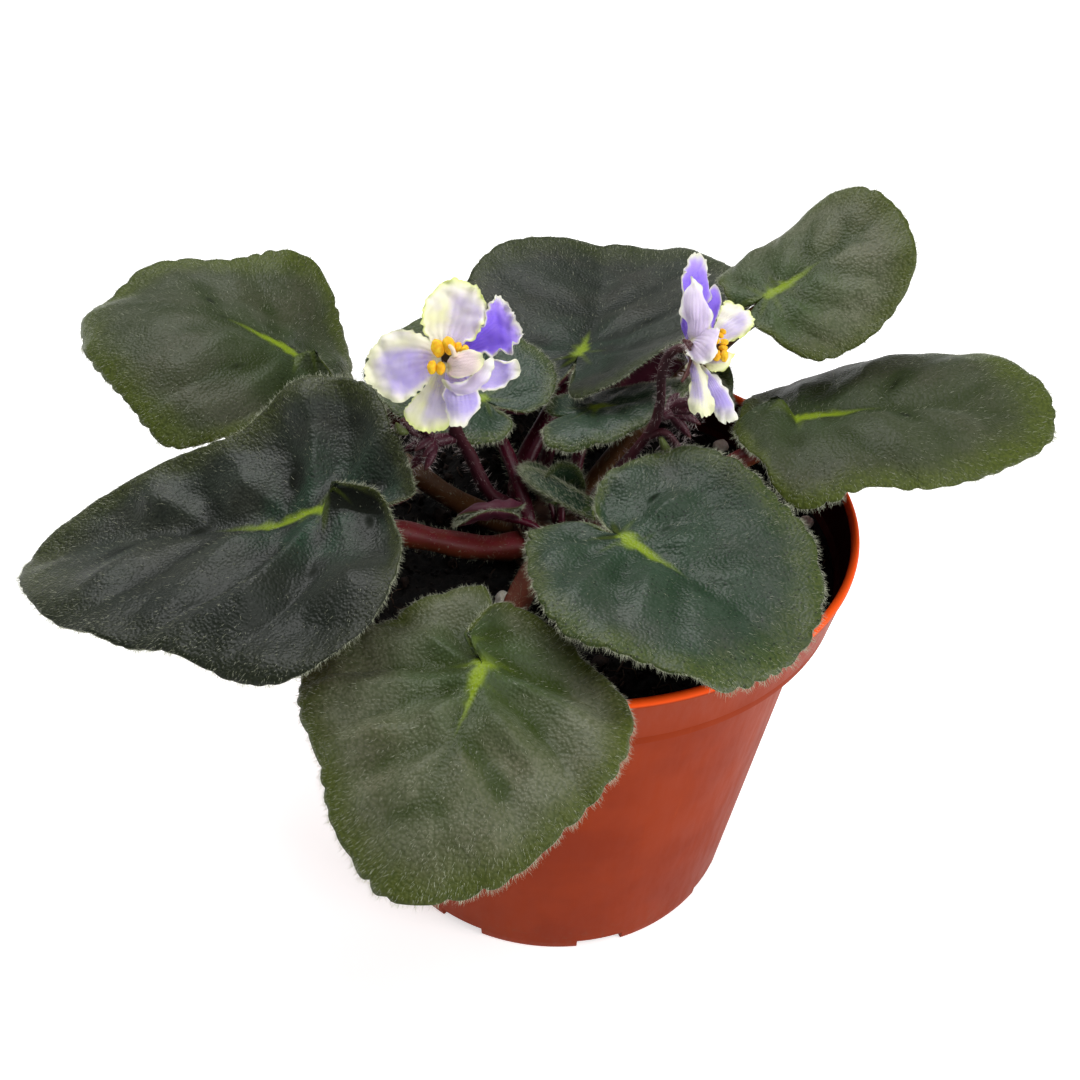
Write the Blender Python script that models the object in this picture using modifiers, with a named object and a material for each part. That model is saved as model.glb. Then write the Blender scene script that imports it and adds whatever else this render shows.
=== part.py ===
"""Potted African violet: a plastic nursery pot, its potting mix, and the plant that grows in it.

The plant is a rosette. Stalked, heart-shaped leaves and two flower stems spring from one short
crown. Sizes are in millimetres and angles in degrees, and MM turns a size into Blender's metres.
The origin is on the pot's axis, on the surface that the pot stands on.
"""

import math
from dataclasses import dataclass

import bmesh
import bpy
from mathutils import Matrix, Vector

MM = 0.001
GAP = 0.3

# Pot: a tapered tub with a wide rim band, a flat base and drain slots at the base's edge.
POT_HEIGHT = 81.0
RIM_RADIUS = 52.5
BAND_HEIGHT = 10.0
BAND_FOOT_RADIUS = 51.5
BAND_LIP_HEIGHT = 2.0
BAND_LIP_RADIUS = 50.9
SHOULDER_RADIUS = 46.4
BASE_RADIUS = 35.5
WALL = 1.4
RIM_EDGE = 0.5
POT_STEPS = 64
DRAIN_SLOTS = 8
DRAIN_SLOT_WIDTH = 9.0
DRAIN_SLOT_HEIGHT = 2.2
DRAIN_SLOT_DEPTH = 7.0

# Potting mix and the white grains that lie on it.
MIX_MIDDLE_HEIGHT = 73.0
MIX_EDGE_HEIGHT = 71.6
GRAIN_SITES = ((31.0, 33.0, 1.5), (-10.5, -18.5, 1.6), (45.5, 8.5, 1.3), (-28.0, 14.0, 1.4))

# Crown: the short stem that every leaf stalk and flower stem leaves from.
CROWN_X = -2.5
CROWN_Y = -3.0
CROWN_RADIUS = 7.0
CROWN_TOP = 80.0
OUTER_RING_HEIGHT = 76.6
STALK_STANDOFF = 0.95
STALK_TAPER = 0.75

LEAF_THICKNESS = 1.0
SPOKE_ANGLES = (0.0, 22.0, 45.0, 70.0, 95.0, 120.0, 145.0, 165.0, 180.0)
LEAF_COLUMNS = 28
LEAF_RINGS = 4
SINUS_ANGLE = 177.0

PETAL_THICKNESS = 0.5
CALYX_BACK = 4.3
CALYX_DEPTH = 3.4
STEM_GAP = 0.7


@dataclass(frozen=True)
class Side:
    """One half of a leaf: its reach from the notch at each inner spoke, its fold and its curl."""

    reach: tuple
    fold: float
    curl: float


@dataclass(frozen=True)
class Leaf:
    """A heart-shaped blade, set by its notch, where the stalk meets it, and by how it lies."""

    name: str
    notch: tuple
    heading: float
    pitch: float
    droop: float
    roll: float
    twist: float
    swerve: float
    length: float
    left: Side
    right: Side
    stalk_base: tuple
    stalk_radius: float
    colour: tuple
    stalk_colour: tuple


GREEN_DARK = (0.030, 0.045, 0.030)
GREEN_OLIVE = (0.060, 0.070, 0.030)
GREEN_TEAL = (0.035, 0.065, 0.040)
STALK_RED = (0.25, 0.05, 0.04)
STALK_TAN = (0.22, 0.10, 0.04)
STALK_CRIMSON = (0.11, 0.01, 0.03)


def ring_base(bearing):
    """Return the foot of an outer leaf stalk on the crown's side, at a bearing around it."""
    reach = CROWN_RADIUS + STALK_STANDOFF
    angle = math.radians(bearing)
    return (CROWN_X + reach * math.cos(angle), CROWN_Y + reach * math.sin(angle), OUTER_RING_HEIGHT)


def top_base(bearing, reach):
    """Return the foot of an inner stalk on the crown's top, at a bearing and a distance out."""
    angle = math.radians(bearing)
    return (CROWN_X + reach * math.cos(angle), CROWN_Y + reach * math.sin(angle),
            CROWN_TOP + STALK_STANDOFF)


LEAVES = (
    Leaf("front", (-12.5, -52.0, 88.5), 256, -1, -47, 0, 6, -13, 38.5,
         Side((35, 29, 26, 23, 15, 15, 14), -14, -1), Side((35, 30, 29, 28, 20, 20, 19), -16, 8),
         ring_base(256), 2.4, GREEN_OLIVE, STALK_RED),
    Leaf("front_right", (8.5, -27.5, 94.5), 318, 6, -28, 2, -6, -2, 35,
         Side((33, 29, 24, 23, 19, 13, 7), 16, -6), Side((35, 29, 25, 19, 16, 15, 12), 13, -21),
         ring_base(304), 2.4, GREEN_TEAL, STALK_TAN),
    Leaf("left", (-40.5, -18.5, 91.0), 167, -14, -10, 2, 7, 9, 60,
         Side((52, 43, 36, 39, 34, 23, 13), 7, -35), Side((32, 27, 30, 25, 18, 16, 16), 31, 5),
         ring_base(212), 2.5, GREEN_DARK, STALK_RED),
    Leaf("right", (39.5, 2.5, 98.5), 1, 22, -41, -8, 20, -6, 45,
         Side((39, 35, 33, 22, 15, 12, 12), 24, -72), Side((39, 31, 24, 25, 15, 12, 11), 27, -77),
         ring_base(5), 2.3, GREEN_OLIVE, STALK_RED),
    Leaf("back_right", (34.5, 21.0, 113.0), 27, 24, 13, 3, 10, -8, 28,
         Side((27, 24, 20, 15, 9, 6, 3), 24, -70), Side((27, 23, 19, 16, 10, 7, 5), 13, -62),
         ring_base(62), 2.1, GREEN_OLIVE, STALK_TAN),
    Leaf("back", (1.5, 25.0, 97.0), 77, 0, -1, -7, 23, 17, 47.5,
         Side((48, 37, 31, 28, 25, 22, 18), 3, -28), Side((44, 38, 32, 28, 24, 23, 18), 23, -11),
         ring_base(130), 2.0, GREEN_DARK, STALK_CRIMSON),
    Leaf("back_left", (-52.4, 27.8, 93.1), 166, 37, -70, 8, -19, 7, 46,
         Side((41, 36, 34, 23, 17, 13, 10), 5, -41), Side((40, 34, 36, 26, 20, 15, 11), -24, 40),
         ring_base(165), 2.3, GREEN_OLIVE, STALK_TAN),
    Leaf("inner_left", (-15.5, 9.0, 96.5), 139, 5, 7, -3, 1, -6, 24,
         Side((23, 21, 18, 16, 13, 12, 9), 20, -17), Side((24, 21, 18, 16, 14, 12, 9), 23, -26),
         top_base(216, 5.2), 1.5, GREEN_TEAL, STALK_CRIMSON),
    Leaf("inner_right", (4.0, 6.3, 97.2), 6, 11, 6, -6, -6, 7, 18.5,
         Side((17, 15, 13, 12, 11, 10, 8), 1, -33), Side((16, 14, 13, 13, 14, 11, 8), 33, -66),
         top_base(50, 4.8), 1.4, GREEN_TEAL, STALK_CRIMSON),
    Leaf("inner_back", (5.0, 31.0, 84.5), 355, 14, -26, 0, 0, 0, 27,
         Side((26, 20, 13, 9, 7, 5, 4), 50, 10), Side((26, 20, 13, 9, 7, 5, 4), 58, 10),
         ring_base(100), 1.5, STALK_CRIMSON, STALK_CRIMSON),
    Leaf("young_front", (5.0, -9.0, 86.2), 156, 14, 6, 0, 0, 0, 16,
         Side((15, 11, 6.5, 4.0, 3.2, 2.4, 1.8), -25, 10),
         Side((15, 11, 6.5, 4.0, 3.2, 2.4, 1.8), 70, 10),
         top_base(292, 5.2), 0.9, GREEN_DARK, STALK_CRIMSON),
    Leaf("young_back", (-1.0, -2.6, 84.0), 275, 88, 4, 0, 0, 0, 8.5,
         Side((7.6, 6.0, 4.2, 3.0, 2.4, 1.8, 1.4), 10, 10),
         Side((7.6, 6.0, 4.2, 3.0, 2.4, 1.8, 1.4), 10, 10),
         top_base(315, 2.0), 0.8, STALK_CRIMSON, STALK_CRIMSON),
    Leaf("young_left", (-10.5, -9.6, 86.0), 200, 20, -50, 0, 0, 0, 10,
         Side((8.6, 6.4, 4.0, 2.6, 1.8, 1.4, 1.0), -25, -10),
         Side((8.6, 6.4, 4.0, 2.6, 1.8, 1.4, 1.0), -25, -10),
         top_base(246, 5.8), 0.8, STALK_CRIMSON, STALK_CRIMSON),
)

FLOWER_COLOURS = {
    "cream": (0.80, 0.78, 0.62),
    "lilac": (0.55, 0.50, 0.85),
    "purple": (0.22, 0.13, 0.75),
}


@dataclass(frozen=True)
class Petal:
    """A petal, set by its bearing round the flower, its size, and its lean from the axis."""

    name: str
    bearing: float
    length: float
    width: float
    lean: float
    curl: float
    layer: float
    colour: str


@dataclass(frozen=True)
class Flower:
    """A flower: its centre, where it faces, its petals, and the route of its stem from the crown."""

    name: str
    centre: tuple
    facing: tuple
    petals: tuple
    stem_route: tuple
    stem_radius: float
    anther_rise: float


FLOWERS = (
    Flower("left", (-20.6, -10.0, 117.0), (-96, 28), (
        Petal("top", 5, 13.5, 12.5, 84, -8, 0.0, "cream"),
        Petal("upper_right", 62, 14.5, 11.0, 78, 0, 1.5, "purple"),
        Petal("left", 285, 14.5, 13.0, 78, 2, 1.5, "lilac"),
        Petal("bottom", 200, 13.5, 12.5, 84, 4, 0.0, "cream"),
        Petal("lower_right", 132, 12.5, 10.5, 82, 4, 3.0, "lilac"),
        Petal("inner_right", 140, 6.5, 5.0, 76, 0, 4.2, "cream"),
    ), (top_base(170, 5.8), (-12.6, -2.3, 86.8), (-16.2, -5.0, 95.5), (-18.6, -7.0, 106.0)),
           1.3, 6.0),
    Flower("right", (20.7, -9.3, 120.0), (-28, 6), (
        Petal("top_inner", 10, 16.0, 10.0, 86, -8, 0.0, "purple"),
        Petal("top_outer", 330, 13.0, 10.0, 66, 6, 2.2, "cream"),
        Petal("side_near", 86, 9.5, 6.0, 66, -8, 1.6, "cream"),
        Petal("side_far", 270, 11.0, 5.2, 79, -5, 0.6, "lilac"),
        Petal("bottom_near", 155, 15.0, 9.0, 88, -6, 0.0, "lilac"),
        Petal("bottom_far", 200, 14.5, 8.2, 80, -8, 1.9, "purple"),
    ), (top_base(350, 5.4), (7.8, -5.6, 91.0), (12.8, -6.6, 102.0), (13.6, -7.5, 113.0)),
           1.3, 4.0),
)

BUDS = (
    ("left", (-21.6, -9.9, 102.2), (-17.6, -7.0, 101.0)),
    ("right", (16.7, -3.7, 103.0), (13.2, -6.4, 102.7)),
)


def new_collection(name):
    """Return a new collection of a name, linked to the scene."""
    collection = bpy.data.collections.new(name)
    bpy.context.scene.collection.children.link(collection)
    return collection


def metres(point):
    """Return a point given in millimetres as a Vector in metres."""
    return Vector(point) * MM


def dress(obj, colour, roughness):
    """Give an object its own Principled material."""
    material = bpy.data.materials.new(obj.name)
    material.use_nodes = True
    shader = material.node_tree.nodes["Principled BSDF"]
    shader.inputs["Base Color"].default_value = (*colour, 1.0)
    shader.inputs["Roughness"].default_value = roughness
    shader.inputs["Metallic"].default_value = 0.0
    obj.data.materials.append(material)


def mesh_object(name, mesh_data, collection, smooth=True):
    """Write a bmesh to a new object of a name, in a collection, and return the object."""
    mesh = bpy.data.meshes.new(name)
    mesh_data.to_mesh(mesh)
    mesh_data.free()
    if smooth:
        mesh.shade_smooth()
    obj = bpy.data.objects.new(name, mesh)
    collection.objects.link(obj)
    return obj


def turned(name, profile, steps, collection):
    """Return a turned body: a profile of (radius, height) points and a Screw modifier."""
    shape = bmesh.new()
    points = [shape.verts.new(metres((radius, 0.0, height))) for radius, height in profile]
    for first, second in zip(points, points[1:]):
        shape.edges.new((first, second))
    obj = mesh_object(name, shape, collection, smooth=False)
    screw = obj.modifiers.new("turn", "SCREW")
    screw.steps = steps
    screw.render_steps = steps
    screw.use_merge_vertices = True
    screw.merge_threshold = 0.00001
    screw.use_smooth_shade = True
    return obj


def inner_radius(height):
    """Return the radius of the pot's inner wall at a height below the shoulder."""
    share = height / (POT_HEIGHT - BAND_HEIGHT - BAND_LIP_HEIGHT)
    return BASE_RADIUS + (SHOULDER_RADIUS - BASE_RADIUS) * share - WALL


def build_pot(collection, cutters):
    """Build the pot as a turned shell, with its drain slots cut through the base's edge."""
    band_foot = POT_HEIGHT - BAND_HEIGHT
    shoulder = band_foot - BAND_LIP_HEIGHT
    profile = (
        (0.0, WALL),
        (inner_radius(WALL), WALL),
        (inner_radius(shoulder), shoulder),
        (inner_radius(shoulder), shoulder + WALL),
        (BAND_LIP_RADIUS - WALL, shoulder + WALL),
        (RIM_RADIUS - WALL, POT_HEIGHT - RIM_EDGE),
        (RIM_RADIUS - WALL + RIM_EDGE, POT_HEIGHT),
        (RIM_RADIUS - RIM_EDGE, POT_HEIGHT),
        (RIM_RADIUS, POT_HEIGHT - RIM_EDGE),
        (BAND_FOOT_RADIUS, band_foot),
        (BAND_LIP_RADIUS, shoulder),
        (SHOULDER_RADIUS, shoulder),
        (BASE_RADIUS, RIM_EDGE),
        (BASE_RADIUS - RIM_EDGE, 0.0),
        (0.0, 0.0),
    )
    pot = turned("pot", profile, POT_STEPS, collection)
    dress(pot, (0.33, 0.055, 0.022), 0.42)
    for number in range(DRAIN_SLOTS):
        angle = math.tau * (number + 0.35) / DRAIN_SLOTS
        shape = bmesh.new()
        bmesh.ops.create_cube(shape, size=1.0, matrix=Matrix.Diagonal(
            (DRAIN_SLOT_DEPTH * MM, DRAIN_SLOT_WIDTH * MM, 2 * DRAIN_SLOT_HEIGHT * MM, 1.0)))
        cutter = mesh_object(f"drain_slot_{number + 1}", shape, cutters, smooth=False)
        cutter.location = metres((BASE_RADIUS * math.cos(angle), BASE_RADIUS * math.sin(angle), 0.0))
        cutter.rotation_euler.z = angle
        cutter.hide_render = True
        cutter.display_type = "WIRE"
        slot = pot.modifiers.new(cutter.name, "BOOLEAN")
        slot.object = cutter
        slot.operation = "DIFFERENCE"
        slot.solver = "EXACT"


def mix_height(radius):
    """Return the height of the potting mix at a distance from the pot's axis."""
    share = min(radius / BAND_LIP_RADIUS, 1.0)
    return MIX_MIDDLE_HEIGHT + (MIX_EDGE_HEIGHT - MIX_MIDDLE_HEIGHT) * share * share


def build_mix(collection):
    """Build the potting mix, which fills the pot to just under the rim band's foot."""
    shoulder = POT_HEIGHT - BAND_HEIGHT - BAND_LIP_HEIGHT
    edge = BAND_LIP_RADIUS - WALL - GAP
    floor = WALL + GAP
    profile = (
        (0.0, mix_height(0.0)),
        (edge * 0.4, mix_height(edge * 0.4)),
        (edge * 0.75, mix_height(edge * 0.75)),
        (edge, mix_height(edge)),
        (edge, shoulder + WALL + GAP),
        (inner_radius(shoulder) - GAP, shoulder + WALL + GAP),
        (inner_radius(shoulder) - GAP, shoulder),
        (inner_radius(floor) - GAP, floor),
        (0.0, floor),
    )
    dress(turned("potting_mix", profile, POT_STEPS, collection), (0.012, 0.010, 0.009), 0.95)


def build_grains(collection):
    """Build the pale grains, small squashed balls that lie on the mix."""
    for number, (across, along, radius) in enumerate(GRAIN_SITES, start=1):
        shape = bmesh.new()
        height = mix_height(math.hypot(across, along)) + 0.8 * radius + GAP
        place = Matrix.Translation(metres((across, along, height)))
        squash = Matrix.Diagonal((1.0, 0.9, 0.8, 1.0))
        bmesh.ops.create_icosphere(shape, subdivisions=2, radius=radius * MM, matrix=place @ squash)
        dress(mesh_object(f"perlite_grain_{number}", shape, collection), (0.65, 0.62, 0.52), 0.8)


def build_crown(collection):
    """Build the crown, a short stump that stands on the potting mix."""
    foot = mix_height(math.hypot(CROWN_X, CROWN_Y)) + GAP
    profile = (
        (0.0, CROWN_TOP),
        (CROWN_RADIUS - 0.8, CROWN_TOP),
        (CROWN_RADIUS, CROWN_TOP - 0.8),
        (CROWN_RADIUS, foot + 0.5),
        (CROWN_RADIUS - 0.5, foot),
        (0.0, foot),
    )
    crown = turned("crown", profile, 24, collection)
    crown.location = metres((CROWN_X, CROWN_Y, 0.0))
    dress(crown, STALK_TAN, 0.7)


def arc_run(start, end, bend, length):
    """Return how far an arc of a bend gets along its base line, between two slopes."""
    if length <= 0.0:
        return 0.0
    return (math.sin(end) - math.sin(start)) / bend if bend else length * math.cos(start)


def arc_rise(start, end, bend, length):
    """Return how far an arc of a bend rises from its base line, between two slopes."""
    if length <= 0.0:
        return 0.0
    return (math.cos(start) - math.cos(end)) / bend if bend else length * math.sin(start)


def leaf_spine(leaf, along):
    """Return the point, side and normal of a leaf's midrib at a distance from the notch."""
    start = math.radians(leaf.pitch)
    bend = math.radians(leaf.droop) / leaf.length
    pitch = start + bend * max(along, 0.0)
    behind = min(along, 0.0)
    forward = arc_run(start, pitch, bend, along) + behind * math.cos(start)
    rise = arc_rise(start, pitch, bend, along) + behind * math.sin(start)
    heading = math.radians(leaf.heading)
    turn = math.radians(leaf.swerve) * along / leaf.length
    middle = heading + turn / 2
    point = Vector(leaf.notch) + Vector((forward * math.cos(middle), forward * math.sin(middle), rise))
    ahead = Vector((math.cos(heading + turn), math.sin(heading + turn), 0.0))
    level = Vector((-ahead.y, ahead.x, 0.0))
    upright = Vector((0.0, 0.0, 1.0)) * math.cos(pitch) - ahead * math.sin(pitch)
    roll = math.radians(leaf.roll + leaf.twist * along / leaf.length)
    side = level * math.cos(roll) + upright * math.sin(roll)
    normal = upright * math.cos(roll) - level * math.sin(roll)
    return point, side, normal


def spoke_reach(leaf, angle):
    """Return how far a leaf reaches from its notch at a signed angle off the midrib."""
    side = leaf.left if angle >= 0 else leaf.right
    reaches = (leaf.length, *side.reach, 0.0)
    angle = abs(angle)
    for index, (low, high) in enumerate(zip(SPOKE_ANGLES, SPOKE_ANGLES[1:])):
        if angle <= high:
            share = (angle - low) / (high - low)
            ease = share * share * (3 - 2 * share)
            blend = 0.5 * (share + ease)
            return reaches[index] + (reaches[index + 1] - reaches[index]) * blend
    return 0.0


def leaf_point(leaf, angle, share):
    """Return the point of a blade at a signed angle off the midrib and a share of its reach."""
    reach = spoke_reach(leaf, angle) * share
    along = reach * math.cos(math.radians(angle))
    across = reach * math.sin(math.radians(abs(angle)))
    half = leaf.left if angle >= 0 else leaf.right
    sign = 1.0 if angle >= 0 else -1.0
    point, side, normal = leaf_spine(leaf, along)
    fold = math.radians(half.fold)
    bend = math.radians(half.curl) / half.reach[3]
    outward = arc_run(fold, fold + bend * across, bend, across)
    lift = arc_rise(fold, fold + bend * across, bend, across)
    return point + side * (sign * outward) + normal * lift


def build_blade(leaf, collection):
    """Build a blade from a grid bent to the leaf's surface, thickened on both sides."""
    shape = bmesh.new()
    bmesh.ops.create_grid(shape, x_segments=LEAF_COLUMNS, y_segments=LEAF_RINGS, size=1.0)
    for vert in shape.verts:
        angle = SINUS_ANGLE * vert.co.x
        vert.co = metres(leaf_point(leaf, angle, (vert.co.y + 1) / 2))
    bmesh.ops.remove_doubles(shape, verts=shape.verts, dist=0.00001)
    bmesh.ops.recalc_face_normals(shape, faces=shape.faces)
    blade = mesh_object(f"leaf_{leaf.name}", shape, collection)
    thicken = blade.modifiers.new("thickness", "SOLIDIFY")
    thicken.thickness = LEAF_THICKNESS * MM
    thicken.offset = 0.0
    dress(blade, leaf.colour, 0.6)


def tube(name, points, radii, collection):
    """Return a round stem along points, with a radius in millimetres at each of them."""
    curve = bpy.data.curves.new(name, "CURVE")
    curve.dimensions = "3D"
    curve.bevel_depth = MM
    curve.bevel_resolution = 2
    curve.use_fill_caps = True
    spline = curve.splines.new("POLY")
    spline.points.add(len(points) - 1)
    for target, point, radius in zip(spline.points, points, radii):
        target.co = (*metres(point), 1.0)
        target.radius = radius
    obj = bpy.data.objects.new(name, curve)
    collection.objects.link(obj)
    return obj


def bezier(start, first, second, end, share):
    """Return the point of a cubic Bezier curve at a share of its run."""
    rest = 1 - share
    return (start * rest ** 3 + first * (3 * rest * rest * share)
            + second * (3 * rest * share * share) + end * share ** 3)


def stalk_points(leaf, count):
    """Return the route of a leaf's stalk, from the crown to just under the blade's notch."""
    start = Vector(leaf.stalk_base)
    notch, _, normal = leaf_spine(leaf, 0.0)
    ahead = (leaf_spine(leaf, 1.0)[0] - notch).normalized()
    end = notch - normal * (leaf.stalk_radius * STALK_TAPER + LEAF_THICKNESS / 2 + 1.5 * GAP) + ahead * 1.5
    reach = (end - start).length
    outward = Vector((start.x - CROWN_X, start.y - CROWN_Y, 0.0)).normalized()
    if start.z > CROWN_TOP:
        leave = ((end - start).normalized() + Vector((0.0, 0.0, 1.0))).normalized()
        arrive = ((end - start).normalized() + ahead).normalized()
    else:
        leave = (outward + Vector((0.0, 0.0, 0.15))).normalized()
        arrive = ahead
    first = start + leave * (0.3 * reach)
    second = end - arrive * (0.4 * reach)
    return [bezier(start, first, second, end, step / (count - 1)) for step in range(count)]


def build_stalk(leaf, collection):
    """Build a leaf's stalk, which thins toward the blade."""
    count = 9
    points = stalk_points(leaf, count)
    radii = [leaf.stalk_radius * (1.0 - (1.0 - STALK_TAPER) * step / (count - 1)) for step in range(count)]
    dress(tube(f"stalk_{leaf.name}", points, radii, collection), leaf.stalk_colour, 0.55)


def flower_frame(flower):
    """Return a flower's axis, its upward direction and its sideways direction."""
    azimuth, elevation = (math.radians(angle) for angle in flower.facing)
    axis = Vector((math.cos(azimuth) * math.cos(elevation), math.sin(azimuth) * math.cos(elevation),
                   math.sin(elevation)))
    sideways = Vector((-math.sin(azimuth), math.cos(azimuth), 0.0))
    upward = axis.cross(sideways)
    return axis, upward, sideways


def petal_point(flower, petal, along, across):
    """Return a petal's point at a share of its length and a signed share of its half width."""
    axis, upward, sideways = flower_frame(flower)
    bearing = math.radians(petal.bearing)
    outward = upward * math.cos(bearing) + sideways * math.sin(bearing)
    tangent = sideways * math.cos(bearing) - upward * math.sin(bearing)
    lean = math.radians(petal.lean + petal.curl * along)
    base = Vector(flower.centre) + axis * petal.layer + outward * 1.4
    half = petal.width / 2 * (0.22 + 0.78 * math.sin(math.pi * min(0.16 + 0.72 * along, 1.0)) ** 1.2)
    round_off = math.sqrt(max(0.0, 1.0 - (across * 0.75) ** 2))
    reach = petal.length * along * (0.35 + 0.65 * round_off)
    cup = 0.12 * petal.width * across * across * along
    normal = axis * math.sin(lean) - outward * math.cos(lean)
    return (base + outward * (reach * math.sin(lean)) + axis * (reach * math.cos(lean))
            + tangent * (half * across) + normal * cup)


def build_petal(flower, petal, collection):
    """Build a petal from a grid bent to its surface, thickened on both sides."""
    shape = bmesh.new()
    bmesh.ops.create_grid(shape, x_segments=6, y_segments=6, size=1.0)
    for vert in shape.verts:
        vert.co = metres(petal_point(flower, petal, (vert.co.y + 1) / 2, vert.co.x))
    bmesh.ops.recalc_face_normals(shape, faces=shape.faces)
    obj = mesh_object(f"flower_{flower.name}_petal_{petal.name}", shape, collection)
    thicken = obj.modifiers.new("thickness", "SOLIDIFY")
    thicken.thickness = PETAL_THICKNESS * MM
    thicken.offset = 0.0
    dress(obj, FLOWER_COLOURS[petal.colour], 0.5)


def aim(direction):
    """Return the rotation that turns the Z axis to a direction."""
    return direction.to_track_quat("Z", "Y").to_matrix().to_4x4()


def build_calyx(flower, collection):
    """Build the calyx, the small green-brown cup behind the petals."""
    axis, _, _ = flower_frame(flower)
    shape = bmesh.new()
    middle = Vector(flower.centre) - axis * (CALYX_BACK - CALYX_DEPTH / 2)
    bmesh.ops.create_cone(shape, cap_ends=True, segments=10, radius1=1.2 * MM, radius2=2.4 * MM,
                          depth=CALYX_DEPTH * MM, matrix=Matrix.Translation(metres(middle)) @ aim(axis))
    dress(mesh_object(f"flower_{flower.name}_calyx", shape, collection), STALK_CRIMSON, 0.6)


def grown_balls(name, radius, places, collection, cutters):
    """Return one body grown from balls of a radius, each set by its place, joined where they meet."""
    for number, place in enumerate(places):
        shape = bmesh.new()
        bmesh.ops.create_icosphere(shape, subdivisions=1, radius=radius * MM, matrix=place)
        if number == 0:
            body = mesh_object(name, shape, collection)
            continue
        helper = mesh_object(f"{name}_ball_{number}", shape, cutters)
        helper.hide_render = True
        helper.display_type = "WIRE"
        join = body.modifiers.new(helper.name, "BOOLEAN")
        join.object = helper
        join.operation = "UNION"
        join.solver = "EXACT"
    return body


def build_anthers(flower, collection, cutters):
    """Build the flower's cluster of anthers: a ring of small balls round a middle one."""
    axis, upward, sideways = flower_frame(flower)
    middle = metres(Vector(flower.centre) + axis * flower.anther_rise)
    stretch = aim(axis) @ Matrix.Diagonal((1.0, 1.0, 1.6, 1.0))
    places = [Matrix.Translation(middle) @ stretch]
    for number in range(4):
        angle = math.tau * number / 4 + 0.6
        offset = upward * math.cos(angle) + sideways * math.sin(angle)
        places.append(Matrix.Translation(middle + offset * (1.3 * MM) + axis * (0.5 * MM)) @ stretch)
    anthers = grown_balls(f"flower_{flower.name}_anthers", 1.0, places, collection, cutters)
    dress(anthers, (0.80, 0.40, 0.01), 0.6)


def smooth_route(points, steps):
    """Return points along a Catmull-Rom curve that passes through a short list of points."""
    knots = [Vector(point) for point in points]
    knots = [2 * knots[0] - knots[1], *knots, 2 * knots[-1] - knots[-2]]
    route = []
    for before, start, end, after in zip(knots, knots[1:], knots[2:], knots[3:]):
        for step in range(steps):
            share = step / steps
            route.append(0.5 * (2 * start + (end - before) * share
                                + (2 * before - 5 * start + 4 * end - after) * share ** 2
                                + (3 * start - before - 3 * end + after) * share ** 3))
    route.append(knots[-2])
    return route


def build_flower(flower, collection, cutters):
    """Build one flower: its stem, calyx, petals and anthers."""
    axis, _, _ = flower_frame(flower)
    stem_end = Vector(flower.centre) - axis * (CALYX_BACK + STEM_GAP)
    route = smooth_route((*flower.stem_route, stem_end - axis * 1.6, stem_end), 3)
    radii = [flower.stem_radius * (1.0 - (1.0 - STALK_TAPER) * step / len(route)) for step in range(len(route))]
    dress(tube(f"flower_{flower.name}_stem", route, radii, collection), STALK_CRIMSON, 0.6)
    build_calyx(flower, collection)
    for petal in flower.petals:
        build_petal(flower, petal, collection)
    build_anthers(flower, collection, cutters)


def build_buds(name, middle, seat, collection, cutters):
    """Build a cluster of hairy buds that spreads beside a flower stem."""
    outward = (Vector(middle) - Vector(seat)).normalized()
    level = outward.cross(Vector((0.0, 0.0, 1.0))).normalized()
    upright = level.cross(outward)
    stub = metres(Vector(middle) - outward * 1.5)
    places = [Matrix.Translation(stub) @ aim(outward) @ Matrix.Diagonal((1.2, 1.2, 1.8, 1.0))]
    for number in range(5):
        angle = math.tau * number / 5
        spread = level * math.cos(angle) + upright * math.sin(angle)
        direction = (outward + spread * 0.8).normalized()
        spot = metres(Vector(middle) + spread * 1.9)
        places.append(Matrix.Translation(spot) @ aim(direction) @ Matrix.Diagonal((1.0, 1.0, 2.6, 1.0)))
    dress(grown_balls(f"buds_{name}", 1.1, places, collection, cutters), STALK_CRIMSON, 0.7)


def main():
    """Clear the scene and build every piece."""
    for obj in list(bpy.data.objects):
        bpy.data.objects.remove(obj)
    plant = new_collection("potted_african_violet")
    cutters = new_collection("cutters")
    build_pot(plant, cutters)
    build_mix(plant)
    build_grains(plant)
    build_crown(plant)
    for leaf in LEAVES:
        build_blade(leaf, plant)
        build_stalk(leaf, plant)
    for flower in FLOWERS:
        build_flower(flower, plant, cutters)
    for name, middle, seat in BUDS:
        build_buds(name, middle, seat, plant, cutters)


main()
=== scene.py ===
"""Dresses the potted African violet: a plastic nursery pot, its mix, and the hairy plant in it.

Lengths are in millimetres and angles in degrees until a mesh is made, when MM turns them into
metres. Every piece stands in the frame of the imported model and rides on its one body.
"""

from __future__ import annotations

import logging
import math
from dataclasses import dataclass
from enum import Enum
from typing import Protocol

import bmesh
import bpy
import numpy as np
from mathutils import Matrix, Vector

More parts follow.
